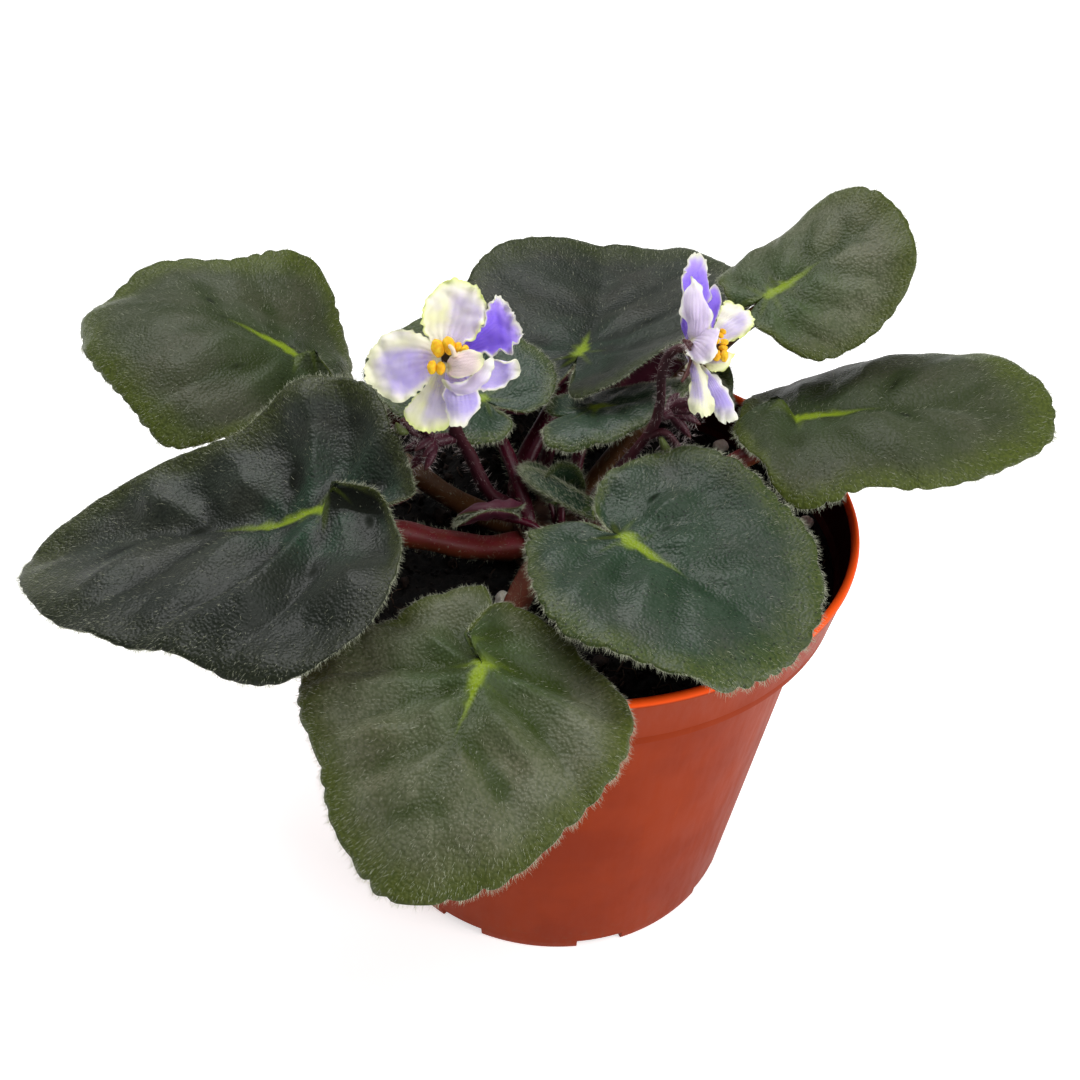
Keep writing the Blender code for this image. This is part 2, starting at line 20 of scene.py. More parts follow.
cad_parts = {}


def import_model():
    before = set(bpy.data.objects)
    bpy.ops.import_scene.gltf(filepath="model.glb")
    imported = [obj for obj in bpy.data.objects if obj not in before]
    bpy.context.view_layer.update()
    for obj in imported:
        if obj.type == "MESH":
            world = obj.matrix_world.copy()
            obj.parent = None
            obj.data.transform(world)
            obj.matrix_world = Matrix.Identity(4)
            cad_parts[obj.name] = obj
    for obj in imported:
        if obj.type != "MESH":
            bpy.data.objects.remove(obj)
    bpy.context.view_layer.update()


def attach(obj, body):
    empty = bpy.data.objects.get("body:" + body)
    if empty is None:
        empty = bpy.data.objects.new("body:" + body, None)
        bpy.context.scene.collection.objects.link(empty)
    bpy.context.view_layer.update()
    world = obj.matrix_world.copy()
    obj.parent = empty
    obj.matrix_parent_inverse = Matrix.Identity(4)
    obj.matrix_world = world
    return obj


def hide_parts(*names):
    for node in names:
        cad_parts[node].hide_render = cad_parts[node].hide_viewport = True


MM = 0.001
BODY = "root"
LOG = logging.getLogger("violet")
Array = np.ndarray
Colour = tuple[float, float, float]
Point = tuple[float, float, float]
Rng = np.random.Generator
Socket = bpy.types.NodeSocket
Material = bpy.types.Material

UP = np.array([0.0, 0.0, 1.0])
OFF_PLUMB = np.array([0.01, 0.003, 1.0])

# The crown's place and size, and where the stalks' feet stand off it.
CROWN_X = -2.5
CROWN_Y = -3.0
CROWN_RADIUS = 7.0
CROWN_TOP = 80.0
RING_HEIGHT = 76.6
STANDOFF = 0.95

# A leaf's blade: its thickness, how softly it creases at the midrib, the angles off the midrib
# at which a half's reach is given, the angle at which the blade ends beside its notch, how wide
# a rolled edge is, and the distance that stands for no vein near.
BLADE_THICKNESS = 1.0
CREASE = 1.6
SPOKES = (0.0, 22.0, 45.0, 70.0, 95.0, 120.0, 145.0, 165.0, 180.0)
SINUS = 178.0
ROLL_WIDTH = 5.6
FAR = 99.0

# A stalk's points, and the hairs for each millimetre of a leaf's margin and of its stalk.
STALK_POINTS = 38
FRINGE_DENSITY = 12
STALK_DENSITY = 16.0

# The top of the mix: its height in the middle, how far it dips, and out to which radius.
MIX_TOP = 73.0
MIX_DIP = 1.4
MIX_REACH = 50.9


# ---------------------------------------------------------------- small tools


def unit(vectors: Array) -> Array:
    """Return vectors scaled to a length of one."""
    return vectors / np.maximum(np.linalg.norm(vectors, axis=-1, keepdims=True), 1e-12)


def ease(low: float, high: float, value: Array) -> Array:
    """Return a smooth step from 0 at low to 1 at high."""
    share = np.clip((value - low) / (high - low), 0.0, 1.0)
    return share * share * (3.0 - 2.0 * share)


def ripple(points: Array, wavelength: float, seed: int, waves: int = 14) -> Array:
    """Return a smooth random field, about -1 to 1, made of plane waves.

    Args:
        points: Places, as an array whose last axis holds the coordinates.
        wavelength: The middle wavelength of the waves, in the points' unit.
        seed: The seed of the waves' directions and phases.
        waves: How many waves are summed.

    Returns:
        One value for each point.
    """
    rng = np.random.default_rng(seed)
    total = np.zeros(points.shape[:-1])
    for _ in range(waves):
        direction = unit(rng.normal(size=points.shape[-1]))
        length = wavelength * rng.uniform(0.65, 1.5)
        total += np.sin(points @ direction * (math.tau / length) + rng.uniform(0, math.tau))
    return total / math.sqrt(waves)


def hermite(knots: Array, values: Array, at: Array) -> Array:
    """Return a smooth curve through knots that never overshoots them, read at some places.

    Args:
        knots: Rising places of the known values.
        values: The value at each knot.
        at: Where to read the curve.

    Returns:
        The curve's value at each place.
    """
    rises = np.diff(values) / np.diff(knots)
    before, after = rises[:-1], rises[1:]
    inner = np.where(before * after > 0, 2 * before * after / (before + after + 1e-12), 0.0)
    slopes = np.concatenate([rises[:1], inner, rises[-1:]])
    index = np.clip(np.searchsorted(knots, at) - 1, 0, len(knots) - 2)
    gap = knots[index + 1] - knots[index]
    share = (at - knots[index]) / gap
    square, cube = share**2, share**3
    return (
        values[index] * (2 * cube - 3 * square + 1)
        + slopes[index] * gap * (cube - 2 * square + share)
        + values[index + 1] * (3 * square - 2 * cube)
        + slopes[index + 1] * gap * (cube - square)
    )


def arc(start: Array, bend: float, length: Array) -> tuple[Array, Array]:
    """Return how far an arc runs along its base line and how far it rises from it.

    Args:
        start: The slope at the arc's start, in radians.
        bend: The change of slope for each millimetre.
        length: The arc's length.

    Returns:
        The run and the rise.
    """
    if abs(bend) < 1e-9:
        return length * np.cos(start), length * np.sin(start)
    end = start + bend * length
    return (np.sin(end) - np.sin(start)) / bend, (np.cos(start) - np.cos(end)) / bend


def grid_normals(points: Array) -> Array:
    """Return the unit normals of a grid of points, stored by turn and then by reach."""
    return unit(np.cross(np.gradient(points, axis=1), np.gradient(points, axis=0)))


def bezier(points: list[Array], shares: Array) -> Array:
    """Return points of a cubic Bezier curve.

    Args:
        points: The curve's four control points.
        shares: The shares of its run at which it is read.

    Returns:
        One point for each share.
    """
    share = shares[:, None]
    rest = 1.0 - share
    return (points[0] * rest**3 + points[1] * (3 * rest * rest * share)
            + points[2] * (3 * rest * share * share) + points[3] * share**3)


def smooth_route(points: list[Point], steps: int) -> Array:
    """Return points along a Catmull-Rom curve.

    Args:
        points: The points that the curve passes through.
        steps: How many points are returned for each leg of the curve.

    Returns:
        The curve's points.
    """
    knots = np.array(points, float)
    knots = np.vstack([2 * knots[0] - knots[1], knots, 2 * knots[-1] - knots[-2]])
    route = []
    for before, start, end, after in zip(knots, knots[1:], knots[2:], knots[3:]):
        for share in np.arange(steps) / steps:
            route.append(0.5 * (2 * start + (end - before) * share
                                + (2 * before - 5 * start + 4 * end - after) * share**2
                                + (3 * start - before - 3 * end + after) * share**3))
    route.append(knots[-2])
    return np.array(route)


# ---------------------------------------------------------------- meshes


@dataclass
class Skin:
    """A mesh in the making: its points, its faces, and what is stored at each point."""

    points: Array
    quads: Array
    tris: Array
    marks: dict[str, Array]
    slots: Array | None = None

    @staticmethod
    def joined(skins: list[Skin]) -> Skin:
        """Join several skins.

        Args:
            skins: The skins, each with at least the marks that the first of them has.

        Returns:
            One skin that holds them all.
        """
        starts = np.cumsum([0] + [len(skin.points) for skin in skins])
        return Skin(
            np.vstack([skin.points for skin in skins]),
            np.vstack([skin.quads + start for skin, start in zip(skins, starts)]),
            np.vstack([skin.tris + start for skin, start in zip(skins, starts)]),
            {key: np.concatenate([skin.marks[key] for skin in skins]) for key in skins[0].marks},
        )

    def piece(self, name: str, materials: list[Material], slot: str,
              replaces: tuple[str, ...] = (), smooth: bool = True) -> bpy.types.Object:
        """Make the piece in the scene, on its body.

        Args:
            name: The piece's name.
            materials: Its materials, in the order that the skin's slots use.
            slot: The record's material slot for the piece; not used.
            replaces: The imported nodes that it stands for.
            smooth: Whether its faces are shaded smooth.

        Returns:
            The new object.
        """
        mesh = bpy.data.meshes.new(name)
        mesh.vertices.add(len(self.points))
        mesh.vertices.foreach_set("co", (self.points * MM).astype(np.float32).ravel())
        corners = np.concatenate([self.quads.ravel(), self.tris.ravel()]).astype(np.int32)
        sizes = np.concatenate([np.full(len(self.quads), 4), np.full(len(self.tris), 3)])
        mesh.loops.add(len(corners))
        mesh.loops.foreach_set("vertex_index", corners)
        mesh.polygons.add(len(sizes))
        starts = np.concatenate([[0], np.cumsum(sizes)[:-1]]).astype(np.int32)
        mesh.polygons.foreach_set("loop_start", starts)
        if self.slots is not None:
            mesh.polygons.foreach_set("material_index", self.slots.astype(np.int32))
        mesh.update(calc_edges=True)
        for key, values in self.marks.items():
            kind, field = ("FLOAT", "value") if values.ndim == 1 else ("FLOAT_VECTOR", "vector")
            layer = mesh.attributes.new(key, kind, "POINT")
            layer.data.foreach_set(field, values.astype(np.float32).ravel())
        if smooth:
            mesh.shade_smooth()
        for material in materials:
            mesh.materials.append(material)
        obj = bpy.data.objects.new(name, mesh)
        bpy.context.scene.collection.objects.link(obj)
        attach(obj, BODY)
        if replaces:
            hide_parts(*replaces)
        LOG.info("%s: %d triangles", name, 2 * len(self.quads) + len(self.tris))
        return obj


def grid_quads(rows: int, columns: int, closed: bool = False) -> Array:
    """Return the quads of a grid of points, stored row by row.

    Args:
        rows: How many rows of points there are.
        columns: How many points a row holds.
        closed: Whether each row's last point joins its first.

    Returns:
        An array of four point indices for each quad.
    """
    across = np.arange(columns if closed else columns - 1)
    row = np.arange(rows - 1)[:, None] * columns
    here = row + across
    there = row + (across + 1) % columns
    return np.stack([here, there, there + columns, here + columns], -1).reshape(-1, 4)


def strip(line: Array, step: int) -> Array:
    """Return the quads between a line of points and the same line a step further on."""
    return np.stack([line[:-1], line[1:], line[1:] + step, line[:-1] + step], -1)


def no_faces(corners: int) -> Array:
    """Return an empty array of faces with a number of corners."""
    return np.zeros((0, corners), int)


def turns(count: int) -> Array:
    """Return equally spaced angles round a circle."""
    return math.tau * np.arange(count) / count


def ringed(radii: Array, angles: Array) -> Array:
    """Return the flat points of circles, as one row of points for each radius."""
    return radii[:, None, None] * np.stack([np.cos(angles), np.sin(angles)], -1)


def lifted(flat: Array, heights: Array) -> Array:
    """Return flat points raised to their heights."""
    return np.concatenate([flat, heights[..., None]], -1)


def capped(rings: Array, ends: list[Array], marks: dict[str, Array],
           inward: bool = False) -> Skin:
    """Return a closed skin over rings of points, with a fan of triangles over each end.

    Args:
        rings: The points, as rows that each hold a ring.
        ends: The middle points of the first ring and of the last.
        marks: What to store at each point, the two middle points last.
        inward: Whether the faces have to be turned over to look outward.

    Returns:
        The skin.
    """
    count, around = rings.shape[:2]
    here = np.arange(around)
    there = (here + 1) % around
    first = np.full(around, count * around)
    high = (count - 1) * around
    tris = np.vstack([np.stack([first, there, here], -1),
                      np.stack([first + 1, high + here, high + there], -1)])
    turn = -1 if inward else 1
    return Skin(np.vstack([rings.reshape(-1, 3), ends]),
                grid_quads(count, around, closed=True)[:, ::turn], tris[:, ::turn], marks)


def sweep(route: Array, radii: Array, around: int, groove: float = 0.0) -> Skin:
    """Return a round stem along a route, closed at both ends.

    Args:
        route: The points that the stem's middle follows.
        radii: The radius at each point.
        around: How many points a ring has.
        groove: How deep the groove along the top is, as a share of the radius.

    Returns:
        The stem's skin, with the mark "place": share along, height round it, and nothing.
    """
    ahead = unit(np.gradient(route, axis=0))
    side = unit(np.cross(ahead, OFF_PLUMB))
    top = np.cross(side, ahead)
    angle = turns(around)
    depth = 1.0 - groove * np.exp(-((angle - math.pi / 2) / 0.45) ** 2)
    ring = (np.cos(angle)[:, None] * side[:, None] + np.sin(angle)[:, None] * top[:, None])
    points = route[:, None] + ring * (radii[:, None] * depth)[..., None]
    share = np.repeat(np.linspace(0, 1, len(route)), around)
    place = np.stack([share, np.tile(np.sin(angle), len(route)), 0 * share], -1)
    place = np.vstack([place, [[0, 0, 0], [1, 0, 0]]])
    return capped(points, [route[0], route[-1]], {"place": place})


@dataclass(frozen=True)
class HairKind:
    """How a coat of hairs is: its hairs' length and width at the foot, and how they stand.

    The spread is how unevenly they stand, the lie how far they lean over, and the bow how far
    they bend, as a share of their length.
    """

    length: float
    width: float
    spread: float
    lie: float
    bow: float


FINE = HairKind(0.70, 0.042, 0.30, 1.3, 0.25)
FRINGE = HairKind(1.02, 0.046, 0.30, 0.5, 0.25)
BRISTLE = HairKind(0.9, 0.042, 0.30, 0.15, 0.2)
LONG = HairKind(1.3, 0.036, 0.25, 0.10, 0.25)


def hairs(feet: Array, normals: Array, lies: Array, kind: HairKind, rng: Rng) -> Skin:
    """Return a coat of hairs, each a bowed, pointed sliver of three triangles.

    Args:
        feet: Where each hair stands.
        normals: The skin's normal at each foot.
        lies: The direction that each hair leans to.
        kind: The coat's kind.
        rng: The source of randomness.

    Returns:
        The hairs' skin.
    """
    count = len(feet)
    jitter = rng.normal(size=(count, 3)) * kind.spread
    ahead = unit(normals + lies * kind.lie + jitter)
    flat = unit(np.cross(ahead, rng.normal(size=(count, 3))))
    length = kind.length * rng.uniform(0.55, 1.35, count)[:, None]
    bow = unit(lies + 0.6 * rng.normal(size=(count, 3))) * (kind.bow * length)
    width = kind.width * rng.uniform(0.7, 1.2, count)[:, None]
    foot = feet - ahead * 0.05
    middle = foot + ahead * (0.55 * length) + bow * 0.25
    tip = foot + ahead * (0.95 * length) + bow
    points = np.stack([foot - flat * width / 2, foot + flat * width / 2,
                       middle + flat * width * 0.36, middle - flat * width * 0.36, tip], 1)
    start = np.arange(count)[:, None] * points.shape[1]
    return Skin(points.reshape(-1, 3), start + np.array([[0, 1, 2, 3]]),
                start + np.array([[3, 2, 4]]), {})


def scatter(points: Array, quads: Array, count: int, weights: Array,
            rng: Rng) -> tuple[Array, Array]:
    """Return places spread over some quads, more of them where the weights are high.

    Args:
        points: The grid's points.
        quads: The quads to spread over.
        count: How many places to return.
        weights: How much each quad counts for its area.
        rng: The source of randomness.

    Returns:
        The places and their quads' indices.
    """
    corner = points[quads]
    area = np.linalg.norm(np.cross(corner[:, 2] - corner[:, 0], corner[:, 3] - corner[:, 1]),
                          axis=1) * weights
    chosen = rng.choice(len(quads), size=count, p=area / area.sum())
    u, v = rng.random((2, count))[..., None]
    corner = corner[chosen]
    place = ((corner[:, 0] * (1 - u) + corner[:, 1] * u) * (1 - v)
             + (corner[:, 3] * (1 - u) + corner[:, 2] * u) * v)
    return place, chosen


# ---------------------------------------------------------------- finishes


class Nodes:
    """A short way to write a material's nodes."""

    def __init__(self, name: str) -> None:
        """Start a material with a Principled shader.

        Args:
            name: The material's name.
        """
        self.material = bpy.data.materials.new(name)
        self.material.use_nodes = True
        self.tree = self.material.node_tree
        self.shader = self.tree.nodes["Principled BSDF"]

    def add(self, kind: str, inputs: dict | None = None, **settings: object) -> bpy.types.Node:
        """Add a node.

        Args:
            kind: The node's type without its ShaderNode prefix.
            inputs: A value, or a socket to link, for each named or numbered input.
            settings: Attributes to set on the node.

        Returns:
            The new node.
        """
        node = self.tree.nodes.new("ShaderNode" + kind)
        for key, value in settings.items():
            setattr(node, key, value)
        for key, value in (inputs or {}).items():
            if isinstance(value, Socket):
                self.tree.links.new(value, node.inputs[key])
            else:
                node.inputs[key].default_value = value
        return node

    def mark(self, name: str) -> dict[str, Socket]:
        """Return the sockets of a node that reads a mark stored on the mesh."""
        return self.add("Attribute", attribute_name=name).outputs

    def parts(self, vector: Socket) -> list[Socket]:
        """Return the sockets with a vector's three parts."""
        return self.add("SeparateXYZ", {0: vector}).outputs

    def place(self) -> Socket:
        """Return the socket with the point's place on the object."""
        return self.add("TexCoord").outputs["Object"]

    def calc(self, operation: str, first: Socket, second: Socket | float = 0.0) -> Socket:
        """Return the result of a Math node."""
        return self.add("Math", {0: first, 1: second}, operation=operation).outputs[0]

    def times(self, first: Socket, second: Socket | float) -> Socket:
        """Return a value times another."""
        return self.calc("MULTIPLY", first, second)

    def plus(self, first: Socket, second: Socket | float) -> Socket:
        """Return the sum of two values."""
        return self.calc("ADD", first, second)

    def noise(self, size: float, detail: float = 3.0, rough: float = 0.55,
              at: Socket | None = None) -> Socket:
        """Return a noise of a feature size in millimetres."""
        return self.add("TexNoise", {"Vector": at or self.place(), "Scale": 1 / (size * MM),
                                     "Detail": detail, "Roughness": rough}).outputs["Fac"]

    def cells(self, size: float, kind: str = "SMOOTH_F1") -> Socket:
        """Return the distance to the nearest of random cells of a size in millimetres."""
        inputs = {"Vector": self.place(), "Scale": 1 / (size * MM)}
        return self.add("TexVoronoi", inputs, feature=kind).outputs["Distance"]

    def span(self, value: Socket, low: float, high: float, start: float = 0.0,
             end: float = 1.0) -> Socket:
        """Return a value mapped smoothly from one range to another, and held at its ends."""
        return self.add("MapRange", {0: value, 1: low, 2: high, 3: start, 4: end},
                        interpolation_type="SMOOTHSTEP").outputs[0]

    def mix(self, share: Socket, first: Socket | Colour, second: Socket | Colour) -> Socket:
        """Return a mix of two colours.

        Args:
            share: The second colour's share.
            first: The first colour.
            second: The second colour.

        Returns:
            The socket with the mix.
        """
        inputs = {index: value if isinstance(value, Socket) else (*value, 1.0)
                  for index, value in ((0, share), (6, first), (7, second))}
        return self.add("Mix", inputs, data_type="RGBA").outputs[2]

    def bump(self, height: Socket, distance: float, strength: float,
             after: Socket | None = None) -> Socket:
        """Return a bumped normal.

        Args:
            height: The height's socket.
            distance: How far the surface rises at a height of one, in millimetres.
            strength: How strongly the normal follows.
            after: A normal that the bump is laid over.

        Returns:
            The normal's socket.
        """
        inputs = {"Height": height, "Distance": distance * MM, "Strength": strength}
        if after is not None:
            inputs["Normal"] = after
        return self.add("Bump", inputs).outputs["Normal"]

    def finish(self, colour: Socket | Colour, roughness: Socket | float,
               normal: Socket | None = None, **constants: object) -> Material:
        """Connect the shader and return the material.

        Args:
            colour: The base colour, as a socket or three numbers.
            roughness: The roughness, as a socket or a number.
            normal: The normal's socket, if the surface is bumped.
            constants: Values for the shader's other sockets, with _ for a space.

        Returns:
            The finished material.
        """
        for key, value in (("Base Color", colour), ("Roughness", roughness), ("Normal", normal)):
            if isinstance(value, Socket):
                self.tree.links.new(value, self.shader.inputs[key])
            elif value is not None:
                plain = (*value, 1.0) if key == "Base Color" else value
                self.shader.inputs[key].default_value = plain
        for key, value in constants.items():
            self.shader.inputs[key.replace("_", " ")].default_value = value
        return self.material


@dataclass(frozen=True)
class LeafFinish:
    """The upper skin of a leaf: dark furrows, paler puffs, an olive margin and a lime midrib.

    The furrows are painted greener and darker, and the darkening is painted shade in the creases.
    The low ground between the pebbles is also painted darker as shade, and so is the left half of
    some leaves.

    The mark "leaf" holds the place along and across the leaf, in millimetres, and the share of
    the way to the margin. The mark "vein" holds how deep in a furrow a point is, with more than
    one for the near-black painted shade in the pit under a rolled lobe, and the lime of the midrib
    and of the side veins.
    """

    name: str
    deep: Colour
    puff: Colour
    edge: Colour
    blush: Colour
    blush_share: float
    heart: Colour
    streak: Colour = (0.19, 0.27, 0.003)
    # Painted shade: the near-black colour of the pit under a rolled lobe's edge.
    hollow_shade: Colour = (0.002, 0.003, 0.0005)
    dot: Colour = (0.004, 0.007, 0.004)
    rough: float = 0.45
    gloss: float = 0.30
    sheen: float = 0.10
    dots: float = 0.7
    # How strongly the left half is painted darker, as painted shade.
    left_half_shade: float = 0.0

    def material(self) -> Material:
        """Lay out the finish's nodes.

        Returns:
            The finish's material.
        """
        n = Nodes(self.name)
        leaf = n.parts(n.mark("leaf")["Vector"])
        vein = n.parts(n.mark("vein")["Vector"])
        away = n.calc("SQRT", n.plus(n.times(leaf[0], leaf[0]), n.times(leaf[1], leaf[1])))
        away = n.plus(away, n.times(n.noise(7.0, 2.0), 14.0))
        patches = n.noise(9.0, 2.0)
        blush = n.times(n.span(n.noise(13.0, 2.0), 0.40, 0.66), self.blush_share)
        base = n.mix(blush, self.puff, self.blush)
        base = n.mix(n.span(away, 26.0, 12.0, 0.0, 0.75), base, self.heart)
        base = n.mix(n.span(patches, 0.35, 0.7, 0.0, 0.35), base, self.deep)
        # Painted shade: the furrows are painted darker toward the deep colour, on top of their
        # greener hue.
        base = n.mix(n.span(vein[0], 0.05, 0.90, 0.0, 0.95), base, self.deep)
        # Painted shade: past one, the pit under a rolled edge is painted near-black.
        base = n.mix(n.span(vein[0], 1.0, 1.4, 0.0, 0.97), base, self.hollow_shade)
        rim = n.plus(leaf[2], n.times(n.noise(5.0, 2.0), 0.16))
        base = n.mix(n.span(rim, 0.84, 1.07, 0.0, 0.9), base, self.edge)
        # Painted shade: the left half, from 7 mm off the midrib outward, is painted darker.
        base = n.mix(n.span(leaf[1], 7.0, 26.0, 0.0, self.left_half_shade), base, self.deep)
        # Painted shade: the low ground between the pebbles of the bump below is painted darker.
        specks = n.cells(0.46)
        base = n.mix(n.span(specks, 0.2, 0.7, 0.0, 0.5), base, self.deep)
        base = n.mix(n.span(n.cells(0.95, "F1"), 0.14, 0.26, self.dots, 0.0), base, self.dot)
        base = n.mix(n.span(vein[1], 0.10, 0.95), base, self.streak)
        base = n.mix(n.span(vein[2], 0.3, 1.0, 0.0, 0.16), base, self.streak)
        pebbles = n.bump(n.times(specks, -1.0), 0.17, 0.95)
        quilt = n.bump(n.noise(4.0, 2.0), 0.25, 0.5, n.bump(n.noise(0.35, 2.0), 0.04, 0.6, pebbles))
        rough = n.span(vein[0], 1.0, 1.3, self.rough, 1.0)
        return n.finish(base, rough, quilt, Specular_IOR_Level=self.gloss,
                        Sheen_Weight=self.sheen, Sheen_Roughness=0.45,
                        Sheen_Tint=(0.85, 0.95, 0.92, 1.0))


@dataclass(frozen=True)
class UndersideFinish:
    """The maroon lower skin of a leaf, with paler raised veins."""

    name: str = "leaf_underside"
    skin: Colour = (0.050, 0.004, 0.015)
    mottle: Colour = (0.09, 0.012, 0.026)
    vein: Colour = (0.13, 0.026, 0.032)
    edge: Colour = (0.09, 0.06, 0.025)

    def material(self) -> Material:
        """Lay out the finish's nodes.

        Returns:
            The finish's material.
        """
        n = Nodes(self.name)
        leaf = n.parts(n.mark("leaf")["Vector"])
        vein = n.parts(n.mark("vein")["Vector"])
        base = n.mix(n.span(n.noise(6.0, 3.0), 0.3, 0.7, 0.0, 0.5), self.skin, self.mottle)
        base = n.mix(n.span(vein[0], 0.55, 1.0, 0.0, 0.75), base, self.vein)
        base = n.mix(n.span(leaf[2], 0.95, 1.0, 0.0, 0.8), base, self.edge)
        normal = n.bump(n.cells(0.5), 0.08, 0.7)
        return n.finish(base, 0.55, normal, Specular_IOR_Level=0.3, Sheen_Weight=0.08,
                        Sheen_Roughness=0.4, Sheen_Tint=(0.9, 0.6, 0.7, 1.0))


@dataclass(frozen=True)
class StemFinish:
    """A stalk's skin: one colour above, a darker one below as painted shade, and a paler tip."""

    name: str
    above: Colour
    # The darker lower side: painted shade, and on the red stalk also a browner hue of its own; the
    # mottle takes it too.
    below: Colour
    tip: Colour
    rough: float = 0.42

    def material(self) -> Material:
        """Lay out the finish's nodes.

        Returns:
            The finish's material.
        """
        n = Nodes(self.name)
        place = n.parts(n.mark("place")["Vector"])
        # Painted shade: the lower side of the stem is painted with the darker colour.
        base = n.mix(n.span(place[1], -0.7, 0.6), self.below, self.above)
        base = n.mix(n.span(place[0], 0.75, 1.0, 0.0, 0.7), base, self.tip)
        mottle = n.span(n.noise(1.4, 3.0), 0.35, 0.7, 0.0, 0.45)
        base = n.mix(mottle, base, self.below)
        normal = n.bump(n.noise(0.7, 3.0), 0.12, 0.6)
        return n.finish(base, self.rough, normal, Specular_IOR_Level=0.3)


@dataclass(frozen=True)
class HairFinish:
    """The pale skin of hairs."""

    name: str
    colour: Colour

    def material(self) -> Material:
        """Lay out the finish's nodes.

        Returns:
            The finish's material.
        """
        n = Nodes(self.name)
        base = n.mix(n.noise(3.0, 1.0), self.colour, tuple(0.7 * part for part in self.colour))
        return n.finish(base, 0.4, Specular_IOR_Level=0.5)


@dataclass(frozen=True)
class PetalFinish:
    """The skin of a petal: a pale ground, rays from the throat, a frill and a yellow glow.

    The mark "petal" holds the nearness to the rim, the share of the half width, and a place
    along the petal. The rays lie about the share of the half width that side gives.
    """

    name: str
    ground: Colour
    ray: Colour
    ray_share: float
    frill: Colour = (0.80, 0.84, 0.42)
    side: float = 0.0
    spread: float = 3.0
    glow: float = 0.0
    glow_colour: Colour = (0.96, 0.98, 0.50)
    throat: Colour = (0.70, 0.66, 0.42)

    def material(self) -> Material:
        """Lay out the finish's nodes.

        Returns:
            The finish's material.
        """
        n = Nodes(self.name)
        petal = n.parts(n.mark("petal")["Vector"])
        rays = n.add("CombineXYZ", {0: n.times(petal[1], 0.006), 1: n.times(petal[0], 0.0012),
                                    2: petal[2]})
        fibre = n.noise(1.1, 3.0, 0.6, rays.outputs[0])
        wash = n.noise(4.5, 2.0)
        edge = n.plus(petal[0], n.times(n.noise(3.0, 2.0), 0.12))
        feather = n.plus(edge, n.times(fibre, 0.22))
        body = n.times(n.span(petal[0], 0.0, 0.25), n.span(feather, 1.12, 0.90))
        share = n.plus(n.span(fibre, 0.38, 0.62, 0.0, 0.7), n.times(wash, 0.4))
        share = n.times(n.span(share, 0.56 - 0.3 * self.ray_share, 0.65), body)
        off = n.calc("ABSOLUTE", n.plus(petal[1], -self.side))
        off = n.plus(off, n.times(n.plus(fibre, -0.5), 0.8))
        share = n.times(share, n.span(off, self.spread, 0.55 * self.spread))
        glow = n.times(n.span(n.noise(5.5, 2.0), 0.42, 0.62), n.span(petal[0], 0.1, 0.4))
        base = n.mix(n.times(glow, self.glow), self.ground, self.glow_colour)
        base = n.mix(share, base, self.ray)
        base = n.mix(n.span(edge, 0.93, 1.07, 0.0, 0.8), base, self.frill)
        base = n.mix(n.span(petal[0], 0.22, 0.05), base, self.throat)
        glitter = n.bump(n.cells(0.22), 0.03, 0.6, n.bump(fibre, 0.12, 0.5))
        return n.finish(base, 0.5, glitter, Specular_IOR_Level=0.3, Subsurface_Weight=0.2,
                        Subsurface_Radius=(1.0, 0.9, 0.8), Subsurface_Scale=0.5 * MM,
                        Sheen_Weight=0.15)


@dataclass(frozen=True)
class SpeckledFinish:
    """A mottled finish for small things: the mix and what lies in it, anthers and pistils."""

    name: str
    light: Colour
    dark: Colour
    size: float
    rough: float
    depth: float

    def material(self) -> Material:
        """Lay out the finish's nodes.

        Returns:
            The finish's material.
        """
        n = Nodes(self.name)
        grain = n.noise(self.size, 5.0, 0.65)
        base = n.mix(n.span(grain, 0.35, 0.68), self.dark, self.light)
        normal = n.bump(grain, self.depth, 0.9, n.bump(n.cells(self.size * 0.6), self.depth, 0.6))
        return n.finish(base, self.rough, normal, Specular_IOR_Level=0.2)


@dataclass(frozen=True)
class PotFinish:
    """Moulded terracotta-coloured plastic, dusty near the foot, with painted light and shade."""

    name: str = "terracotta_plastic"
    body: Colour = (0.262, 0.032, 0.006)
    shade: Colour = (0.212, 0.024, 0.005)
    # Painted light: the thin top of the rim, painted a brighter orange where light shines through
    # the plastic.
    lip_glow: Colour = (0.85, 0.085, 0.008)
    # Painted shade: the inner wall and floor, painted near-black where shade falls inside the pot.
    inside: Colour = (0.035, 0.003, 0.003)
    scuff: Colour = (0.42, 0.09, 0.035)
    dust: Colour = (0.16, 0.08, 0.05)

    def material(self) -> Material:
        """Lay out the finish's nodes.

        Returns:
            The finish's material.
        """
        n = Nodes(self.name)
        spot = n.parts(n.place())
        # Painted light: the rim's top above 80 mm takes the brighter glow colour.
        lip_glow_share = n.span(spot[2], 79.7 * MM, 80.3 * MM)
        # Painted shade: the pot's inner wall and floor take the near-black colour.
        below = n.span(n.mark("inside")["Fac"], 0.85, 1.0)
        cloud = n.noise(22.0, 4.0, 0.6)
        base = n.mix(n.span(cloud, 0.3, 0.7), self.body, self.shade)
        streaks = n.add("Mapping", {"Vector": n.place(), "Scale": (1.0, 1.0, 0.12)})
        scuff = n.noise(2.2, 5.0, 0.7, streaks.outputs[0])
        base = n.mix(n.span(scuff, 0.58, 0.8, 0.0, 0.16), base, self.scuff)
        base = n.mix(below, base, self.inside)
        base = n.mix(lip_glow_share, base, self.lip_glow)
        dust = n.times(n.span(n.noise(1.1, 4.0), 0.5, 0.8), n.span(spot[2], 14.0 * MM, 0.0))
        base = n.mix(n.times(dust, 0.3), base, self.dust)
        rough = n.span(scuff, 0.3, 0.8, 0.42, 0.58)
        normal = n.bump(n.noise(0.5, 3.0), 0.012, 0.6, n.bump(cloud, 0.3, 0.35))
        return n.finish(base, rough, normal, Specular_IOR_Level=0.04)


